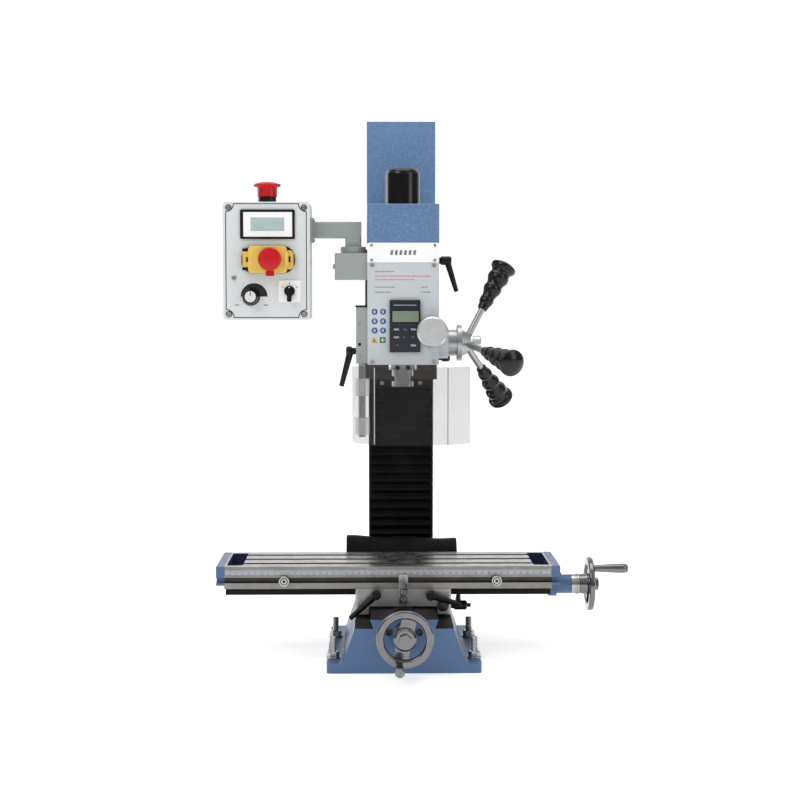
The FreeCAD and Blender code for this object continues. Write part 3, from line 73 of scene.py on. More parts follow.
# ---- materials ----------------------------------------------------------------
class Recipe:
    """Builds one procedural material around a Principled shader."""

    def __init__(self, name, colour, rough, metal=0.0):
        self.material = bpy.data.materials.new(name)
        self.material.use_nodes = True
        self.tree = self.material.node_tree
        self.shader = self.tree.nodes["Principled BSDF"]
        self.shader.inputs["Base Color"].default_value = colour
        self.shader.inputs["Roughness"].default_value = rough
        self.shader.inputs["Metallic"].default_value = metal
        self.colour = colour
        self.rough = rough
        self.place = self.add("ShaderNodeTexCoord").outputs["Object"]
        self.normal = None

    def add(self, kind, **settings):
        node = self.tree.nodes.new(kind)
        for key, value in settings.items():
            setattr(node, key, value)
        return node

    def join(self, source, target):
        self.tree.links.new(source, target)

    def noise(self, scale, detail=3.0, stretch=None):
        node = self.add("ShaderNodeTexNoise")
        node.inputs["Scale"].default_value = scale
        node.inputs["Detail"].default_value = detail
        self.join(self.spot(stretch), node.inputs["Vector"])
        return node.outputs["Fac"]

    def spot(self, stretch):
        if stretch is None:
            return self.place
        mapping = self.add("ShaderNodeMapping")
        mapping.inputs["Scale"].default_value = stretch
        self.join(self.place, mapping.inputs["Vector"])
        return mapping.outputs["Vector"]

    def ramp(self, source, low, high):
        node = self.add("ShaderNodeMapRange")
        node.inputs["From Min"].default_value = low
        node.inputs["From Max"].default_value = high
        self.join(source, node.inputs["Value"])
        return node.outputs["Result"]

    def tint(self, source, other, strength=1.0):
        """Mixes another colour in where the source is high."""
        mix = self.add("ShaderNodeMix", data_type="RGBA")
        mix.inputs[7].default_value = other
        if self.shader.inputs["Base Color"].is_linked:
            self.join(self.shader.inputs["Base Color"].links[0].from_socket, mix.inputs[6])
        else:
            mix.inputs[6].default_value = self.colour
        scaled = self.add("ShaderNodeMath", operation="MULTIPLY")
        scaled.inputs[1].default_value = strength
        self.join(source, scaled.inputs[0])
        self.join(scaled.outputs[0], mix.inputs[0])
        self.join(mix.outputs[2], self.shader.inputs["Base Color"])
        return self

    def wear(self, scale, spread, stretch=None):
        """Varies the roughness."""
        node = self.add("ShaderNodeMapRange")
        node.inputs["To Min"].default_value = max(self.rough - spread, 0.02)
        node.inputs["To Max"].default_value = min(self.rough + spread, 1.0)
        node.inputs["From Min"].default_value = 0.3
        node.inputs["From Max"].default_value = 0.7
        self.join(self.noise(scale, 4.0, stretch), node.inputs["Value"])
        self.join(node.outputs["Result"], self.shader.inputs["Roughness"])
        return self

    def bump(self, source, height, strength=1.0):
        """Adds relief."""
        node = self.add("ShaderNodeBump")
        node.inputs["Distance"].default_value = height
        node.inputs["Strength"].default_value = strength
        self.join(source, node.inputs["Height"])
        if self.normal is not None:
            self.join(self.normal, node.inputs["Normal"])
        self.normal = node.outputs["Normal"]
        self.join(self.normal, self.shader.inputs["Normal"])
        return self

    def round_edges(self, radius):
        """Rounds the look of sharp edges; used before any bump."""
        node = self.add("ShaderNodeBevel", samples=6)
        node.inputs["Radius"].default_value = radius
        self.normal = node.outputs["Normal"]
        self.join(self.normal, self.shader.inputs["Normal"])
        return self

    def coat(self, weight, rough=0.05):
        self.shader.inputs["Coat Weight"].default_value = weight
        self.shader.inputs["Coat Roughness"].default_value = rough
        return self


def hammered(name, colour, light):
    """Hammer-finish enamel with fine pale flecks."""
    r = Recipe(name, colour, 0.36).round_edges(0.7 * MM)
    cells = r.add("ShaderNodeTexVoronoi", feature="SMOOTH_F1")
    cells.inputs["Scale"].default_value = 480
    r.join(r.place, cells.inputs["Vector"])
    r.tint(r.ramp(r.noise(260, 5.0), 0.45, 0.75), light, 0.40)
    r.tint(r.ramp(r.noise(900, 2.0), 0.63, 0.70), tone(205, 218, 235), 0.45)
    r.tint(r.ramp(r.noise(14, 3.0), 0.40, 0.80), light, 0.18)
    r.wear(120, 0.08)
    r.bump(cells.outputs["Distance"], 0.16 * MM, 0.55)
    return r.coat(0.25, 0.18).material


def enamel(name, colour, rough=0.42, light=None, peel=0.05):
    """Smooth powder enamel with orange peel."""
    r = Recipe(name, colour, rough).round_edges(0.6 * MM)
    if light:
        r.tint(r.ramp(r.noise(9, 3.0), 0.35, 0.8), light, 0.25)
    r.tint(r.ramp(r.noise(700, 2.0), 0.55, 0.75), tuple(min(c * 1.35, 1) for c in colour[:3]) + (1,), 0.22)
    r.wear(90, 0.07)
    r.bump(r.noise(900, 2.0), peel * MM, 0.5)
    return r.material


def plastic(name, colour, rough, gloss=0.0, shine=0.5):
    """Moulded plastic."""
    r = Recipe(name, colour, rough).round_edges(0.4 * MM)
    lighter = tuple(min(c * 1.5 + 0.004, 1) for c in colour[:3]) + (1,)
    r.tint(r.ramp(r.noise(60, 4.0), 0.4, 0.8), lighter, 0.35)
    r.wear(150, 0.06)
    r.bump(r.noise(1400, 2.0), 0.02 * MM, 0.4)
    r.shader.inputs["Specular IOR Level"].default_value = shine
    return r.coat(gloss, 0.08).material


def ground(name, colour, rough, stretch, lines=900, metal=1.0, stain=None, height=0.03):
    """Machined metal with cutter lines along one direction."""
    r = Recipe(name, colour, rough, metal).round_edges(0.5 * MM)
    streaks = r.noise(lines, 3.0, stretch)
    r.tint(r.ramp(streaks, 0.35, 0.7), tuple(c * 0.62 for c in colour[:3]) + (1,), 0.55)
    if stain:
        r.tint(r.ramp(r.noise(22, 5.0), 0.52, 0.78), stain, 0.5)
    r.wear(60, 0.1)
    r.bump(streaks, height * MM, 0.5)
    return r.material


def turned_metal(name, colour, rough, rings=0.0, axis="Z"):
    """Bright turned metal."""
    r = Recipe(name, colour, rough, 1.0).round_edges(0.5 * MM)
    r.tint(r.ramp(r.noise(45, 4.0), 0.45, 0.8), tuple(c * 0.7 for c in colour[:3]) + (1,), 0.4)
    r.wear(80, 0.06)
    if rings:
        wave = r.add("ShaderNodeTexWave", wave_type="BANDS", bands_direction=axis, wave_profile="SIN")
        wave.inputs["Scale"].default_value = 0.314 / (rings * MM)
        r.join(r.place, wave.inputs["Vector"])
        r.bump(wave.outputs["Fac"], rings * 0.45 * MM, 0.9)
    else:
        r.bump(r.noise(700, 3.0), 0.015 * MM, 0.4)
    return r.material


def rubber(name, colour, rough=0.55):
    """Black rubberised cloth."""
    r = Recipe(name, colour, rough).round_edges(0.5 * MM)
    r.tint(r.ramp(r.noise(30, 5.0), 0.5, 0.8), tone(44, 43, 42), 0.3)
    r.shader.inputs["Specular IOR Level"].default_value = 0.12
    weave = r.add("ShaderNodeTexVoronoi")
    weave.inputs["Scale"].default_value = 1100
    r.join(r.place, weave.inputs["Vector"])
    r.wear(50, 0.12)
    r.bump(weave.outputs["Distance"], 0.06 * MM, 0.5)
    return r.material


def clear(name, colour, rough, weight, glow=0.0):
    """Clear sheet: mostly see-through, with a real surface reflection."""
    r = Recipe(name, colour, rough).round_edges(0.3 * MM)
    r.shader.inputs["IOR"].default_value = 1.49
    r.shader.inputs["Specular IOR Level"].default_value = 0.3
    r.shader.inputs["Alpha"].default_value = weight
    r.wear(40, 0.02)
    r.bump(r.noise(12, 2.0), 0.05 * MM, 0.2)
    if glow:
        r.shader.inputs["Emission Color"].default_value = colour
        r.shader.inputs["Emission Strength"].default_value = glow
    return r.material


def screen(name, colour, glow):
    """A lit liquid-crystal display with its segment grid."""
    r = Recipe(name, colour, 0.2)
    r.tint(r.ramp(r.noise(25, 2.0), 0.3, 0.8), tuple(c * 0.75 for c in colour[:3]) + (1,), 0.6)
    grid = r.add("ShaderNodeTexWave", bands_direction="X")
    grid.inputs["Scale"].default_value = 320
    r.join(r.place, grid.inputs["Vector"])
    r.bump(grid.outputs["Fac"], 0.01 * MM, 0.3)
    r.shader.inputs["Emission Color"].default_value = colour
    r.shader.inputs["Emission Strength"].default_value = glow
    return r.coat(1.0, 0.03).material


M = {
    "hammer": hammered("hammered_blue", tone(91, 126, 166), tone(128, 160, 196)),
    "hammer_top": hammered("hammered_blue_top", tone(84, 117, 156), tone(118, 149, 184)),
    "base_blue": enamel("base_blue", tone(68, 98, 137), 0.38, tone(92, 122, 160), 0.08),
    # Darker copy of the base blue, as painted shade, for the inside of the recessed end pockets of the table.
    "pocket_blue_shade": enamel("pocket_blue_painted_shade", tone(28, 42, 74), 0.6),
    "box_grey": enamel("box_grey", tone(212, 216, 217), 0.40, tone(226, 228, 229)),
    "grey": enamel("head_grey", tone(190, 196, 199), 0.40, tone(208, 212, 214)),
    "side_grey": enamel("side_grey", tone(186, 192, 198), 0.44, tone(205, 209, 213)),
    "white": enamel("plate_white", tone(246, 246, 246), 0.40),
    "arm_grey": enamel("arm_grey_green", tone(139, 148, 145), 0.44, tone(160, 168, 165)),
    "block": enamel("guard_block_grey", tone(150, 155, 154), 0.42),
    "table": ground("ground_table", (0.46, 0.455, 0.45, 1), 0.33, (0.4, 3.0, 1.0), 500, 1.0,
                    (0.30, 0.285, 0.27, 1)),
    "table_side": ground("milled_side", (0.28, 0.272, 0.262, 1), 0.38, (0.25, 1.0, 3.0), 600, 1.0,
                         (0.22, 0.21, 0.2, 1)),
    "saddle": ground("saddle_iron", (0.42, 0.41, 0.40, 1), 0.44, (0.5, 1.0, 2.0), 700, 0.85,
                     (0.26, 0.25, 0.24, 1)),
    # Near-black metal: oily machined ways, darkened further as painted shade for undersides, recesses and the
    # ways under the saddle.
    "way_oil_and_painted_shade": ground("way_oil_and_painted_shade", (0.06, 0.057, 0.053, 1), 0.42, (2.0, 0.3, 1.0), 700, 0.9),
    "column": ground("column_iron", (0.24, 0.24, 0.245, 1), 0.45, (2.0, 1.0, 0.25), 600, 0.8),
    "carriage": ground("carriage_iron", (0.085, 0.073, 0.066, 1), 0.42, (2.0, 1.0, 0.25), 600, 0.9),
    "bronze": ground("bronze", (0.56, 0.36, 0.16, 1), 0.35, (1, 1, 1), 500),
    "chrome": turned_metal("polished_wheel", (0.19, 0.19, 0.195, 1), 0.14),
    "bright": turned_metal("bright_steel", (0.42, 0.415, 0.41, 1), 0.2),
    "satin": turned_metal("satin_aluminium", (0.66, 0.67, 0.68, 1), 0.38),
    "knob_face": turned_metal("knob_face", (0.86, 0.86, 0.87, 1), 0.5),
    "hub": turned_metal("hub_aluminium", (0.40, 0.405, 0.41, 1), 0.34),
    "zinc": turned_metal("zinc_steel", (0.42, 0.425, 0.415, 1), 0.26),
    "thread": turned_metal("stud_thread", (0.50, 0.50, 0.49, 1), 0.3, 1.5, "Z"),
    "black_steel": plastic("black_oxide", (0.006, 0.006, 0.0065, 1), 0.30, 0.05, 0.4),
    "gloss": plastic("gloss_black", (0.003, 0.003, 0.0034, 1), 0.18, 0.14, 0.3),
    "satin_black": plastic("satin_black", (0.004, 0.004, 0.0044, 1), 0.32, 0.03, 0.3),
    "red": plastic("signal_red", tone(190, 16, 24), 0.34, 0.08, 0.3),
    "yellow": plastic("signal_yellow", tone(222, 184, 84), 0.36, 0.2),
    "green": plastic("start_green", tone(20, 120, 60), 0.32, 0.3),
    "amber": plastic("amber_mark", tone(205, 150, 40), 0.45),
    "mark_blue": plastic("mark_blue", tone(24, 72, 140), 0.45),
    "mark_green": plastic("mark_green", tone(20, 110, 60), 0.45),
    "mark_red": plastic("mark_red", tone(200, 108, 106), 0.5),
    "mark_grey": plastic("mark_grey", tone(110, 112, 116), 0.5),
    "mark_black": plastic("mark_black", tone(12, 12, 13), 0.5),
    "mark_white": plastic("mark_white", tone(232, 232, 230), 0.45),
    "key_grey": plastic("key_grey", tone(150, 152, 154), 0.5),
    "rubber": rubber("cover_rubber", (0.0026, 0.0027, 0.003, 1)),
    "belt": rubber("belt_rubber", (0.006, 0.006, 0.006, 1)),
    "scale": ground("scale_strip", (0.40, 0.42, 0.44, 1), 0.36, (0.3, 1, 2), 900, 0.6),
    "sheet": clear("clear_sheet", (0.02, 0.021, 0.022, 1), 0.06, 0.2),
    "sheet_edge": clear("clear_edge", (0.20, 0.215, 0.22, 1), 0.12, 0.6),
    "clip": clear("clear_clip", (0.86, 0.88, 0.88, 1), 0.12, 0.45),
    "panel_navy": plastic("panel_navy", (0.005, 0.008, 0.017, 1), 0.2, 0.2),
    "lcd": screen("lcd_green", tone(116, 132, 110), 0.06),
    "lcd_pale": screen("lcd_pale", tone(168, 186, 188), 0.16),
}


def dress(node, *names):
    """Gives a CAD node its materials; the first one covers everything."""
    mesh = NODES[node].data
    mesh.materials.clear()
    for name in names:
        mesh.materials.append(M[name])
    for face in mesh.polygons:
        face.material_index = 0


def pick(node, index, test):
    """Gives one material to the faces whose centre (mm) and normal pass a test."""
    mesh = NODES[node].data
    for face in mesh.polygons:
        if test(Vector(face.center) / MM, face.normal):
            face.material_index = index


# Places that several sections use, in mm.
FRONT = (0, -1, 0)
STUD_X, STUD_MID_Y, STUD_Y = 107, -18, 75
TABLE_MIDDLE = -23
COVER_Y = -34.0
GUARD_HOLE = (-67, 488.5)
LID_Y = -45.0
LID_SCREW_X = (-265.7, -151.2)
LID_SCREW_Z = (535.0, 696.5)
SPEED_AT = (-232, 561.4)
SELECTOR_AT = (-173.2, 570)
ESTOP_AT = (-209.5, -5)
CLIP_Z = ((348, 376), (408, 436.5))
SHEET_Z = (338, 454)


def within(value, span):
    """Whether a value lies strictly inside a span."""
    return span[0] < value < span[1]


PLAIN = {
    "column_cover": "hammer", "top_cover": "hammer_top", "table_cap_left": "base_blue",
    "table_cap_right": "base_blue",
    "column_casting": "column", "way_cover": "rubber", "column_bellows": "rubber", "feed_nuts": "bronze",
    "x_handwheel": "chrome", "y_handwheel": "chrome", "z_handwheel": "chrome", "x_grip": "chrome",
    "y_grip": "chrome", "head_housing": "side_grey", "name_plate": "white", "drive_belt": "belt",
    "motor_pulley": "satin", "spindle_pulley": "satin", "dro_panel": "panel_navy", "drawbar_cap": "gloss",
    "control_arm": "arm_grey", "arm_bracket": "block", "guard_rod": "bright", "quill": "bright",
    "spindle": "bright", "capstan_hub": "hub", "capstan_grips": "gloss", "clutch_knob": "satin",
    "fine_feed_knob": "satin", "control_box": "box_grey", "control_lid": "box_grey", "estop_button": "red",
    "switch_pad": "red", "start_button": "green", "stop_button": "red",
    "selector_handle": "gloss", "drive_motor": "satin_black"}
for node, name in PLAIN.items():
    dress(node, name)

dress("base_casting", "base_blue", "way_oil_and_painted_shade")
# Painted shade: the way tops and the dovetail sides under the saddle get the near-black way material.
pick("base_casting", 1, lambda p, n: p.z > 67 and n.z > 0.5)
pick("base_casting", 1, lambda p, n: p.z > 67.6 and abs(n.x) > 0.8 and abs(p.x) > 40)
dress("base_fasteners", "zinc", "thread", "black_steel")
pick("base_fasteners", 1, lambda p, n: within(p.z, (24.5, 46))
     and math.hypot(abs(p.x) - STUD_X, abs(p.y - STUD_MID_Y) - STUD_Y) < 5.1)
pick("base_fasteners", 2, lambda p, n: p.y < -125 or p.y > 190)
dress("saddle_casting", "saddle", "way_oil_and_painted_shade")
# Painted shade: the saddle's lower front recess and all its downward faces get the near-black way material.
pick("saddle_casting", 1, lambda p, n: abs(p.x) < 53 and p.y < -40 and p.z < 84.5 or n.z < -0.7)
dress("saddle_fittings", "bright", "black_steel")
pick("saddle_fittings", 1, lambda p, n: p.x > 40)
dress("table_casting", "table_side", "table", "pocket_blue_shade", "way_oil_and_painted_shade")
pick("table_casting", 1, lambda p, n: n.z > 0.7 and p.z > 145)
# Painted shade: the recessed pockets at the table ends get the darker blue.
pick("table_casting", 2, lambda p, n: within(abs(p.x - TABLE_MIDDLE), (223.5, 251))
     and within(p.z, (126, 145.9)))
# Painted shade: faces below z 111.2 and the front slot between z 120 and 129.5 get the near-black way
# material.
pick("table_casting", 3, lambda p, n: p.z < 111.2 or 120 < p.z < 129.5 and p.y < -36)
dress("table_stops", "bright")
for node in ("x_screw", "y_screw"):
    dress(node, "bright", "satin")
dress("z_carriage", "carriage", "bronze")
dress("bellows_frame", "satin_black", "bright")
pick("bellows_frame", 1, lambda p, n: p.y < 181.9)
dress("head_cover", "grey", "zinc")
pick("head_cover", 1, lambda p, n: p.y < COVER_Y - 0.1)
dress("name_plate", "white", "zinc")
pick("name_plate", 1, lambda p, n: p.y < COVER_Y - 0.1)
dress("guard_block", "block", "satin_black", "zinc")
pick("guard_block", 1, lambda p, n: p.z > 545.3
     or (math.hypot(p.x - GUARD_HOLE[0], p.z - GUARD_HOLE[1]) < 2.6 and p.y < -29.5))
pick("guard_block", 2, lambda p, n: p.y < -32.1 and p.z < 540)
dress("guard_shield", "sheet", "sheet_edge", "clip")
pick("guard_shield", 1, lambda p, n: abs(n.z) > 0.9)
pick("guard_shield", 2, lambda p, n: within(p.x, (-77, -50)) and p.y > -34
     and any(within(p.z, span) for span in CLIP_Z))
dress("quill_collar", "bright", "black_steel")
pick("quill_collar", 1, lambda p, n: p.y < -4.1)
dress("panel_fittings", "satin_black", "bright", "white")
pick("panel_fittings", 2, lambda p, n: within(p.x, (-191, -156)) and within(p.z, (552.5, 587)))
pick("panel_fittings", 1, lambda p, n: any(abs(p.z - z) < 5 for z in LID_SCREW_Z)
     and (p.x < -260 or p.x > -161))
pick("panel_fittings", 1, lambda p, n: p.x < -253 and abs(p.z - 590) < 5)
dress("switch_cover", "yellow", "red")
pick("switch_cover", 1, lambda p, n: abs(p.x + 201.7) < 7 and p.z < 600.4 and p.y < -62)
dress("speed_knob", "gloss", "knob_face")
pick("speed_knob", 1, lambda p, n: math.hypot(p.x - SPEED_AT[0], p.z - SPEED_AT[1]) < 8.6 and p.y < -60)
for node in ("x_lock_left", "x_lock_right", "y_lock", "z_lock", "quill_lock", "guard_lever"):
    dress(node, "satin_black", "bright")


# ---- added pieces ----------------------------------------------------------------
def piece(name, mesh, material, body):
    """Puts a finished mesh (in metres, row frame) on a body."""
    mesh.materials.append(M[material])
    thing = bpy.data.objects.new(name, mesh)
    bpy.context.scene.collection.objects.link(thing)
    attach(thing, body)
    return thing


def slabs(name, boxes, material, body):
    """Many small blocks as one piece.  Each is three (low, high) pairs in mm."""
    mesh = bpy.data.meshes.new(name)
    corners = []
    faces = []
    for x, y, z in boxes:
        first = len(corners)
        corners += [millimetres(a, b, c) for a in x for b in y for c in z]
        for quad in ((0, 1, 3, 2), (4, 6, 7, 5), (0, 4, 5, 1), (2, 3, 7, 6), (0, 2, 6, 4), (1, 5, 7, 3)):
            faces.append([first + k for k in quad])
    mesh.from_pydata(corners, [], faces)
    return piece(name, mesh, material, body)


def bars(name, spans, material, body):
    """Thin blocks given as centre, size and a turn about a centre: (matrix, size mm)."""
    work = bmesh.new()
    for matrix, size in spans:
        scale = Matrix.Diagonal((size[0] * MM, size[1] * MM, size[2] * MM, 1))
        bmesh.ops.create_cube(work, size=1.0, matrix=matrix @ scale)
    mesh = bpy.data.meshes.new(name)
    work.to_mesh(mesh)
    work.free()
    return piece(name, mesh, material, body)


def discs(name, spots, radius, height, axis, material, body, sides=32):
    """Short round pieces with their middles at the given spots (mm)."""
    work = bmesh.new()
    turn = Vector((0, 0, 1)).rotation_difference(Vector(axis)).to_matrix().to_4x4()
    for spot in spots:
        bmesh.ops.create_cone(work, cap_ends=True, segments=sides, radius1=radius * MM, radius2=radius * MM,
                              depth=height * MM, matrix=Matrix.Translation(millimetres(*spot)) @ turn)
    mesh = bpy.data.meshes.new(name)
    work.to_mesh(mesh)
    work.free()
    return piece(name, mesh, material, body)


def figures(name, words, size, material, body):
    """Plain numerals standing on -Y faces: (text, x, y, z) in mm."""
    work = bmesh.new()
    for text, x, y, z in words:
        curve = bpy.data.curves.new(name + "_" + text, "FONT")
        curve.body = text
        curve.size = size * MM
        curve.align_x = "CENTER"
        curve.extrude = 0.05 * MM
        holder = bpy.data.objects.new(name + "_" + text, curve)
        made = holder.to_mesh()
        made.transform(Matrix.Translation(millimetres(x, y, z)) @ Matrix.Rotation(math.pi / 2, 4, "X"))
        work.from_mesh(made)
        holder.to_mesh_clear()
        bpy.data.objects.remove(holder)
        bpy.data.curves.remove(curve)
    mesh = bpy.data.meshes.new(name)
    work.to_mesh(mesh)
    work.free()
    return piece(name, mesh, material, body)


# ---- table scale ----------------------------------------------------------------
STRIP_X = (-275.0, 228.5)
STRIP_FACE = -44.0
slabs("scale_strip", [(STRIP_X, (STRIP_FACE, STRIP_FACE + 0.6), (132.9, 141.8))],
      "scale", "table")
ticks = []
numerals = []
for step in range(50):
    spot = STRIP_X[0] + 7 + 10 * step
    for part in range(10):
        x = spot + part
        if x > STRIP_X[1] - 3:
            break
        reach = 3.4 if part == 0 else 2.6 if part == 5 else 1.7
        ticks.append(((x - 0.12, x + 0.12), (STRIP_FACE - 0.05, STRIP_FACE + 0.1), (141.6 - reach, 141.6)))
    numerals.append((str(step), spot, STRIP_FACE - 0.02, 134.0))
slabs("scale_ticks", ticks, "mark_black", "table")
figures("scale_numerals", numerals, 3.8, "mark_black", "table")
discs("scale_pins", [(x, STRIP_FACE - 0.2, 137.3) for x in (-269.0, TABLE_MIDDLE, 222.5)], 2.0, 0.9, FRONT,
      "zinc", "table")
STOP_FACE = -51.55
STOP_SPOTS = [(x, 124.2) for x in (-183.8, 144.1)]
# Painted shade: a black ring for the recess round each stop screw head and a black hexagon for its socket
# hole; the face between is bright steel.
for name, lift, radius, material, sides in (
        ("stop_recess_shade_rings", 0, 5.9, "mark_black", 32), ("stop_faces", 0.15, 4.6, "bright", 32),
        ("stop_socket_shade", 0.3, 2.4, "mark_black", 6)):
    spots = [(x, STOP_FACE - lift, z) for x, z in STOP_SPOTS]
    discs(name, spots, radius, 0.3, FRONT, material, "table", sides)
# Painted shade: dark rings round the pointer screws.
discs("pointer_screw_shadows", [(0, -48.55, z) for z in (106.7, 95.4)], 5.4, 0.3, FRONT,
      "mark_black", "saddle")
slabs("pointer_line", [((-0.3, 0.3), (-48.6, -48.4), (120, 132))], "mark_black", "saddle")


# ---- dial graduations ------------------------------------------------------------
def dial_ticks(name, centre, axis, body):
    """Fifty graduations round the edge of a feed dial."""
    spans = []
    axis = Vector(axis)
    side = Vector((0, 0, 1))
    for step in range(50):
        turn = Matrix.Rotation(2 * math.pi * step / 50, 4, axis)
        reach = 4.6 if step % 5 == 0 else 2.8
        out = turn @ side
        place = millimetres(*centre) + out * 15.5 * MM + axis * (10.0 - reach / 2) * MM
        frame_rows = Matrix((out, axis, out.cross(axis))).transposed().to_4x4()
        spans.append((Matrix.Translation(place) @ frame_rows, (0.12, reach, 0.22)))
    bars(name, spans, "mark_black", body)


dial_ticks("x_dial_ticks", (267.5, 26, 105.5), (1, 0, 0), "x_wheel")
dial_ticks("y_dial_ticks", (0, -156, 63), FRONT, "y_wheel")

# ---- marks on the head ------------------------------------------------------------
FILM = (COVER_Y - 0.18, COVER_Y + 0.1)
RAISED = (COVER_Y - 0.3, COVER_Y)
MARK_X = (-43.9, -31.0)
MARK_Z = (538.5, 523.9, 509.7)
discs("round_marks", [(x, COVER_Y - 0.05, z) for x in MARK_X for z in MARK_Z],
      4.6, 0.3, FRONT, "mark_blue", "head", 40)
glyphs = []
for x in MARK_X:
    for z in MARK_Z:
        glyphs.append(((x - 2.2, x + 1.6), RAISED, (z - 0.9, z + 0.9)))
        glyphs.append(((x - 0.8, x + 0.8), RAISED, (z - 2.4, z + 2.6)))
slabs("round_mark_bars", glyphs, "mark_white", "head")
discs("amber_mark", [(-44.6, COVER_Y - 0.05, 493.6)], 6.0, 0.3, FRONT, "amber", "head", 3)
slabs("amber_mark_bar", [((-45.1, -44.1), RAISED, (491.4, 496.6))], "mark_black", "head")
slabs("green_mark", [((-36.2, -27.2), FILM, (490.5, 499.5))], "mark_green", "head")
slabs("green_mark_cross",
      [((-34.6, -28.8), RAISED, (494.2, 495.8)), ((-32.5, -30.9), RAISED, (492.1, 497.9))],
      "mark_white", "head")


def text_bars(name, rows, left, material, body, face):
    """Lines of unreadable generic print: (z, length, height)."""
    boxes = []
    for z, length, height in rows:
        x = left
        while x < left + length:
            word = random.uniform(2.2, 6.5)
            stop = min(x + word, left + length)
            boxes.append(((x, stop), (face - 0.12, face + 0.1), (z - height / 2, z + height / 2)))
            x = stop + 1.1
    slabs(name, boxes, material, body)


for name, rows, left, material in (
        ("red_print", [(600.2, 30, 1.6), (592.9, 86, 1.2), (587.6, 60, 1.2)], -43, "mark_red"),
        ("grey_print", [(576.2, 30, 1.3), (568.5, 24, 1.3)], -43, "mark_grey"),
        ("grey_print_right", [(576.2, 11, 1.3), (568.5, 15, 1.3)], 27, "mark_grey")):
    text_bars(name, rows, left, material, "head", COVER_Y)
name_strokes = []
for step in range(6):
    middle = millimetres(-17.5 + 7.0 * step, COVER_Y - 0.05, 629)
    spin = Matrix.Translation(middle) @ Matrix.Rotation(0.2, 4, "Y")
    name_strokes.append((spin, (3.8, 0.25, 7.4)))
bars("name_strokes", name_strokes, "mark_grey", "head")

# Painted highlight and painted shade: a white strip on the left fold and a grey strip on the right fold of
# the clear guard sheet.
FOLD_Y = (-77.2, -76.6)
slabs("sheet_fold_highlight", [((-45.0, -43.7), FOLD_Y, SHEET_Z)], "mark_white", "guard")
slabs("sheet_fold_shade", [((66.4, 67.6), FOLD_Y, SHEET_Z)], "mark_grey", "guard")

# ---- depth display ----------------------------------------------------------------
PANEL_Y = -39.0
slabs("depth_screen", [((-16.6, 23.6), (PANEL_Y - 0.3, PANEL_Y + 0.2), (523.0, 539.6))],
      "lcd", "head")
slabs("depth_frame", [((-18.4, 25.2), (PANEL_Y - 0.2, PANEL_Y + 0.2), (521.6, 541.2))],
      "satin_black", "head")
keys = []
for x, z in ((-14.5, 511.5), (11.5, 511.5), (-14.5, 499.5), (11.5, 487.0)):
    keys.append(((x, x + 8.0), (PANEL_Y - 0.5, PANEL_Y + 0.1), (z - 1.5, z + 1.5)))
for x, z in ((0.5, 512.0), (3.5, 510.5), (0.5, 499.5), (14.0, 500.0), (-10.0, 487.5)):
    keys.append(((x, x + 1.6), (PANEL_Y - 0.4, PANEL_Y + 0.1), (z - 0.7, z + 0.7)))
slabs("depth_keys", keys, "key_grey", "head")
slabs("depth_bars", [((-15, 20), (PANEL_Y - 0.15, PANEL_Y + 0.1), (548.0, 549.3))],
      "key_grey", "head")

# ---- control box face ------------------------------------------------------------
LEFT, RIGHT, LOW, HIGH = -270.0, -147.5, 529.8, 702.5
NOTCH = 12.0
LINE = 1.3
LINE_T = 0.24
CORNER_STEPS = 8
edges = []
for z in (LOW, HIGH):
    middle = Matrix.Translation(millimetres((LEFT + RIGHT) / 2, LID_Y, z))
    edges.append((middle, (RIGHT - LEFT - 2 * NOTCH, LINE_T, LINE)))
for x in (LEFT, RIGHT):
    middle = Matrix.Translation(millimetres(x, LID_Y, (LOW + HIGH) / 2))
    edges.append((middle, (LINE, LINE_T, HIGH - LOW - 2 * NOTCH)))
for x, z, first in ((LEFT, LOW, 0), (RIGHT, LOW, 90), (RIGHT, HIGH, 180), (LEFT, HIGH, 270)):
    for step in range(CORNER_STEPS):
        turn = math.radians(first + 90 * (step + 0.5) / CORNER_STEPS)
        spin = Matrix.Translation(millimetres(x, LID_Y, z)) @ Matrix.Rotation(-turn, 4, "Y")
        edges.append((spin @ Matrix.Translation(millimetres(NOTCH, 0, 0)), (LINE, LINE_T, 2.6)))
bars("lid_outline", edges, "mark_black", "control")
# Painted shadow: dark rings round the lid's corner screws.
discs("lid_screw_shadows", [(x, LID_Y - 0.05, z) for x in LID_SCREW_X for z in LID_SCREW_Z], 5.0, 0.3, FRONT,
      "mark_black", "control")
slabs("box_panel", [((-243, -169), (-48.15, -47.8), (652.5, 689.7))],
      "white", "control")
slabs("box_screen", [((-232, -181), (-48.3, -47.7), (661, 681.5))], "lcd_pale", "control")
FAN = 24
FAN_R = 20.4
FAN_X, FAN_Z = -227.4, 561.7
corners = []
for y in (LID_Y - 0.15, LID_Y + 0.1):
    for step in range(FAN + 1):
        turn = math.pi * step / FAN
        corners.append(millimetres(FAN_X + FAN_R * math.cos(turn), y, FAN_Z + FAN_R * math.sin(turn)))
row = FAN + 1
faces = [tuple(range(row)), tuple(range(2 * row - 1, row - 1, -1))]
for step in range(row):
    ahead = (step + 1) % row
    faces.append((step, step + row, ahead + row, ahead))
mesh = bpy.data.meshes.new("speed_fan")
mesh.from_pydata(corners, [], faces)
piece("speed_fan", mesh, "mark_black", "control")
slabs("speed_print", [(x, (LID_Y - 0.12, LID_Y + 0.1), (548, 549.6)) for x in ((-257, -250.5), (-213, -206))],
      "mark_grey", "control")
marks = []
for turn in (-60, 0, 60):
    middle = millimetres(SELECTOR_AT[0], -47, SELECTOR_AT[1])
    spin = Matrix.Translation(middle) @ Matrix.Rotation(math.radians(turn), 4, "Y")
    marks.append((spin @ Matrix.Translation(millimetres(0, 0, 12.6)), (0.9, 0.25, 3.4)))
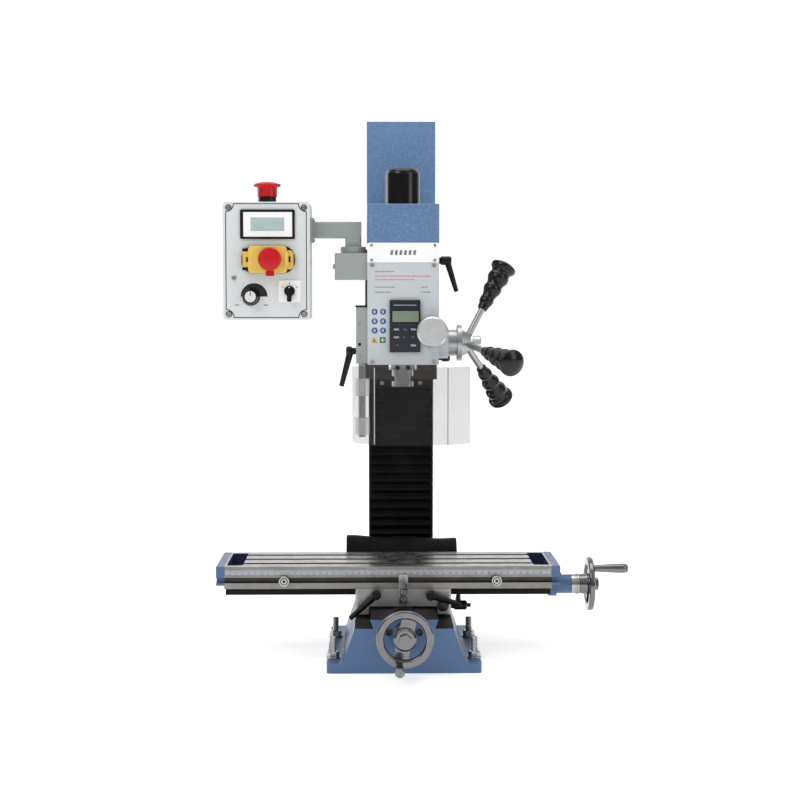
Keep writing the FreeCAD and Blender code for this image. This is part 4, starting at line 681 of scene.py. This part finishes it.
bars("selector_marks", marks, "mark_black", "control")
slabs("speed_pointer", [((-232.6, -231.4), (-62.1, -61.6), (562.4, 569.4))],
      "mark_black", "speed")
# Painted highlight: a white spot on the gloss black selector knob.
discs("selector_glint", [(SELECTOR_AT[0], -61.0, 575.4)], 0.9, 0.5, FRONT,
      "mark_white", "selector", 16)
estop_marks = []
for turn in range(0, 360, 120):
    spin = Matrix.Translation(millimetres(*ESTOP_AT, 737.9)) @ Matrix.Rotation(math.radians(turn), 4, "Z")
    estop_marks.append((spin @ Matrix.Translation(millimetres(8.5, 0, 0)), (1.2, 6.0, 0.5)))
bars("estop_marks", estop_marks, "mark_white", "estop")

# ---- pleated cover, closer to real cloth ----------------------------------------------
PLEATS = 20
FOOT, TOP = 110.0, 409.7
CLOTH_HALF = 54.0
CLOTH_BACK = 190.0
PLEAT_DEPTH = 5.6
STEPS_PER_PLEAT = 8
profile = []
STEPS = PLEATS * STEPS_PER_PLEAT
for step in range(STEPS + 1):
    share = step / STEPS
    wave = 0.5 - 0.5 * math.cos(2 * math.pi * share * PLEATS)
    profile.append((CLOTH_BACK - PLEAT_DEPTH * wave ** 0.7, FOOT + (TOP - FOOT) * share))
COLUMNS = 18
corners = []
faces = []
for layer, back in enumerate((0.0, 1.0)):
    for y, z in profile:
        for column in range(COLUMNS + 1):
            x = CLOTH_HALF * (2 * column / COLUMNS - 1)
            sag = 0.35 * math.sin(column * 1.7 + z * 0.11)
            corners.append(millimetres(x, y + back + sag, z))
row = COLUMNS + 1
total = row * len(profile)
for level in range(STEPS):
    for column in range(COLUMNS):
        a = level * row + column
        faces.append((a, a + 1, a + row + 1, a + row))
        faces.append((a + total, a + total + row, a + total + row + 1, a + total + 1))
    for a, flip in ((level * row, False), (level * row + COLUMNS, True)):
        quad = (a, a + row, a + row + total, a + total)
        faces.append(quad[::-1] if flip else quad)
mesh = bpy.data.meshes.new("bellows_cloth")
mesh.from_pydata(corners, [], faces)
cloth = piece("bellows_cloth", mesh, "rubber", "frame")
for face in mesh.polygons:
    face.use_smooth = True
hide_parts("column_bellows")
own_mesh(cloth)

# ---- rubber sheet behind the table ------------------------------------------------------
path = [(100.2, 98), (101.5, 115), (104, 130), (107.5, 143.5), (113, 154), (121, 161), (132, 164.2),
        (144, 162.8), (155, 157), (164, 148.2), (171, 137), (176.5, 125), (180, 112)]
corners = []
faces = []
ACROSS = 36
SHEET_HALF = 91.0
SHEET_HALF_T = 1.25
for layer in (0, 1):
    for k, (y, z) in enumerate(path):
        ahead = path[min(k + 1, len(path) - 1)]
        behind = path[max(k - 1, 0)]
        run = Vector((0, ahead[0] - behind[0], ahead[1] - behind[1])).normalized()
        out = Vector((0, -run.z, run.y)) * (SHEET_HALF_T if layer else -SHEET_HALF_T)
        bow = math.sin(math.pi * k / (len(path) - 1))
        for column in range(ACROSS + 1):
            x = SHEET_HALF * (2 * column / ACROSS - 1)
            lift = bow * (1.2 * math.sin(column * 0.35 + 0.8) - 0.026 * x)
            corners.append(millimetres(x, y + out.y, z + out.z + lift))
row = ACROSS + 1
total = row * len(path)
for level in range(len(path) - 1):
    for column in range(ACROSS):
        a = level * row + column
        faces.append((a, a + row, a + row + 1, a + 1))
        faces.append((a + total, a + total + 1, a + total + row + 1, a + total + row))
    for a, flip in ((level * row, False), (level * row + ACROSS, True)):
        quad = (a, a + total, a + total + row, a + row)
        faces.append(quad[::-1] if flip else quad)
for column in range(ACROSS):
    for a, flip in ((column, False), (column + row * (len(path) - 1), True)):
        quad = (a, a + 1, a + total + 1, a + total)
        faces.append(quad[::-1] if flip else quad)
mesh = bpy.data.meshes.new("way_sheet")
mesh.from_pydata(corners, [], faces)
mesh.materials.append(M["rubber"])
for face in mesh.polygons:
    face.use_smooth = True
flap = bpy.data.objects.new("way_sheet", mesh)
bpy.context.scene.collection.objects.link(flap)
subdivide = flap.modifiers.new("smooth", "SUBSURF")
subdivide.levels = 1
subdivide.render_levels = 1
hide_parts("way_cover")
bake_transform(flap)

# ---- floor, light, camera ------------------------------------------------------------
def stage_mesh(name, points, quads, material):
    """A piece of the studio."""
    mesh = bpy.data.meshes.new(name)
    mesh.from_pydata(points, [], quads)
    mesh.materials.append(material)
    thing = bpy.data.objects.new(name, mesh)
    bpy.context.scene.collection.objects.link(thing)
    for face in mesh.polygons:
        face.use_smooth = True
    return thing


floor_paint = Recipe("floor_paint", (0.90, 0.90, 0.90, 1), 0.55)
floor_paint.wear(3, 0.08)
floor_paint.shader.inputs["Emission Color"].default_value = (1, 1, 1, 1)
floor_paint.shader.inputs["Emission Strength"].default_value = 0.45
floor_paint.bump(floor_paint.noise(40, 2.0), 0.05 * MM, 0.1)
FLOOR_FRONT = -40.0
FLOOR_BACK = 5.0
SWEEP_R = 2.0
SWEEP_STEPS = 12
WALL_TOP = 9.0
SWEEP_HALF = 12.0
SWEEP = [(FLOOR_FRONT, 0.0), (FLOOR_BACK, 0.0)]
for step in range(1, SWEEP_STEPS + 1):
    turn = math.pi / 2 * step / SWEEP_STEPS
    SWEEP.append((FLOOR_BACK + SWEEP_R * math.sin(turn), SWEEP_R * (1 - math.cos(turn))))
SWEEP.append((FLOOR_BACK + SWEEP_R, WALL_TOP))
points = [(x, y, z) for y, z in SWEEP for x in (-SWEEP_HALF, SWEEP_HALF)]
quads = [(2 * k, 2 * k + 1, 2 * k + 3, 2 * k + 2) for k in range(len(SWEEP) - 1)]
stage_mesh("studio_sweep", points, quads, floor_paint.material)

world = bpy.data.worlds.new("studio")
bpy.context.scene.world = world
world.use_nodes = True
world.node_tree.nodes["Background"].inputs["Color"].default_value = (1, 1, 1, 1)
sky = world.node_tree
ray = sky.nodes.new("ShaderNodeTexCoord")
split = sky.nodes.new("ShaderNodeSeparateXYZ")
lift = sky.nodes.new("ShaderNodeMapRange")
lift.inputs["From Min"].default_value = 0.0
lift.inputs["From Max"].default_value = 0.9
lift.inputs["To Min"].default_value = 0.16
lift.inputs["To Max"].default_value = 0.70
sky.links.new(ray.outputs["Generated"], split.inputs["Vector"])
sky.links.new(split.outputs["Z"], lift.inputs["Value"])
sky.links.new(lift.outputs["Result"], sky.nodes["Background"].inputs["Strength"])


def softbox(name, spot, target, width, height, power):
    """A large soft lamp."""
    light = bpy.data.lights.new(name, "AREA")
    light.shape = "RECTANGLE"
    light.size = width
    light.size_y = height
    light.energy = power
    lamp = bpy.data.objects.new(name, light)
    lamp.location = spot
    lamp.rotation_euler = (Vector(target) - Vector(spot)).to_track_quat("-Z", "Y").to_euler()
    bpy.context.scene.collection.objects.link(lamp)


softbox("key", (-1.6, -1.9, 2.3), (0, 0, 0.4), 1.4, 1.4, 22)
softbox("fill", (2.2, -1.6, 1.4), (0, 0, 0.4), 1.2, 1.8, 13.5)
softbox("top", (0, 0.1, 2.6), (0, 0.05, 0), 1.8, 1.4, 17)
softbox("rear_left", (-1.7, 1.3, 1.1), (0, 0.1, 0.3), 0.9, 1.6, 11)

LENS_MM = 70.5
SENSOR_MM = 36
VIEW_DEPTH = 60
VIEWPOINT = (-0.0418, -2.441, 0.558)
camera = bpy.data.cameras.new("camera")
camera.lens = LENS_MM
camera.sensor_width = SENSOR_MM
camera.clip_end = VIEW_DEPTH
viewer = bpy.data.objects.new("camera", camera)
viewer.location = VIEWPOINT
YAW = math.radians(0.8775)
PITCH = math.radians(3.6878)
viewer.rotation_euler = (math.pi / 2 - PITCH, 0, -YAW)
bpy.context.scene.collection.objects.link(viewer)
bpy.context.scene.camera = viewer
bpy.context.scene.view_settings.view_transform = "Standard"
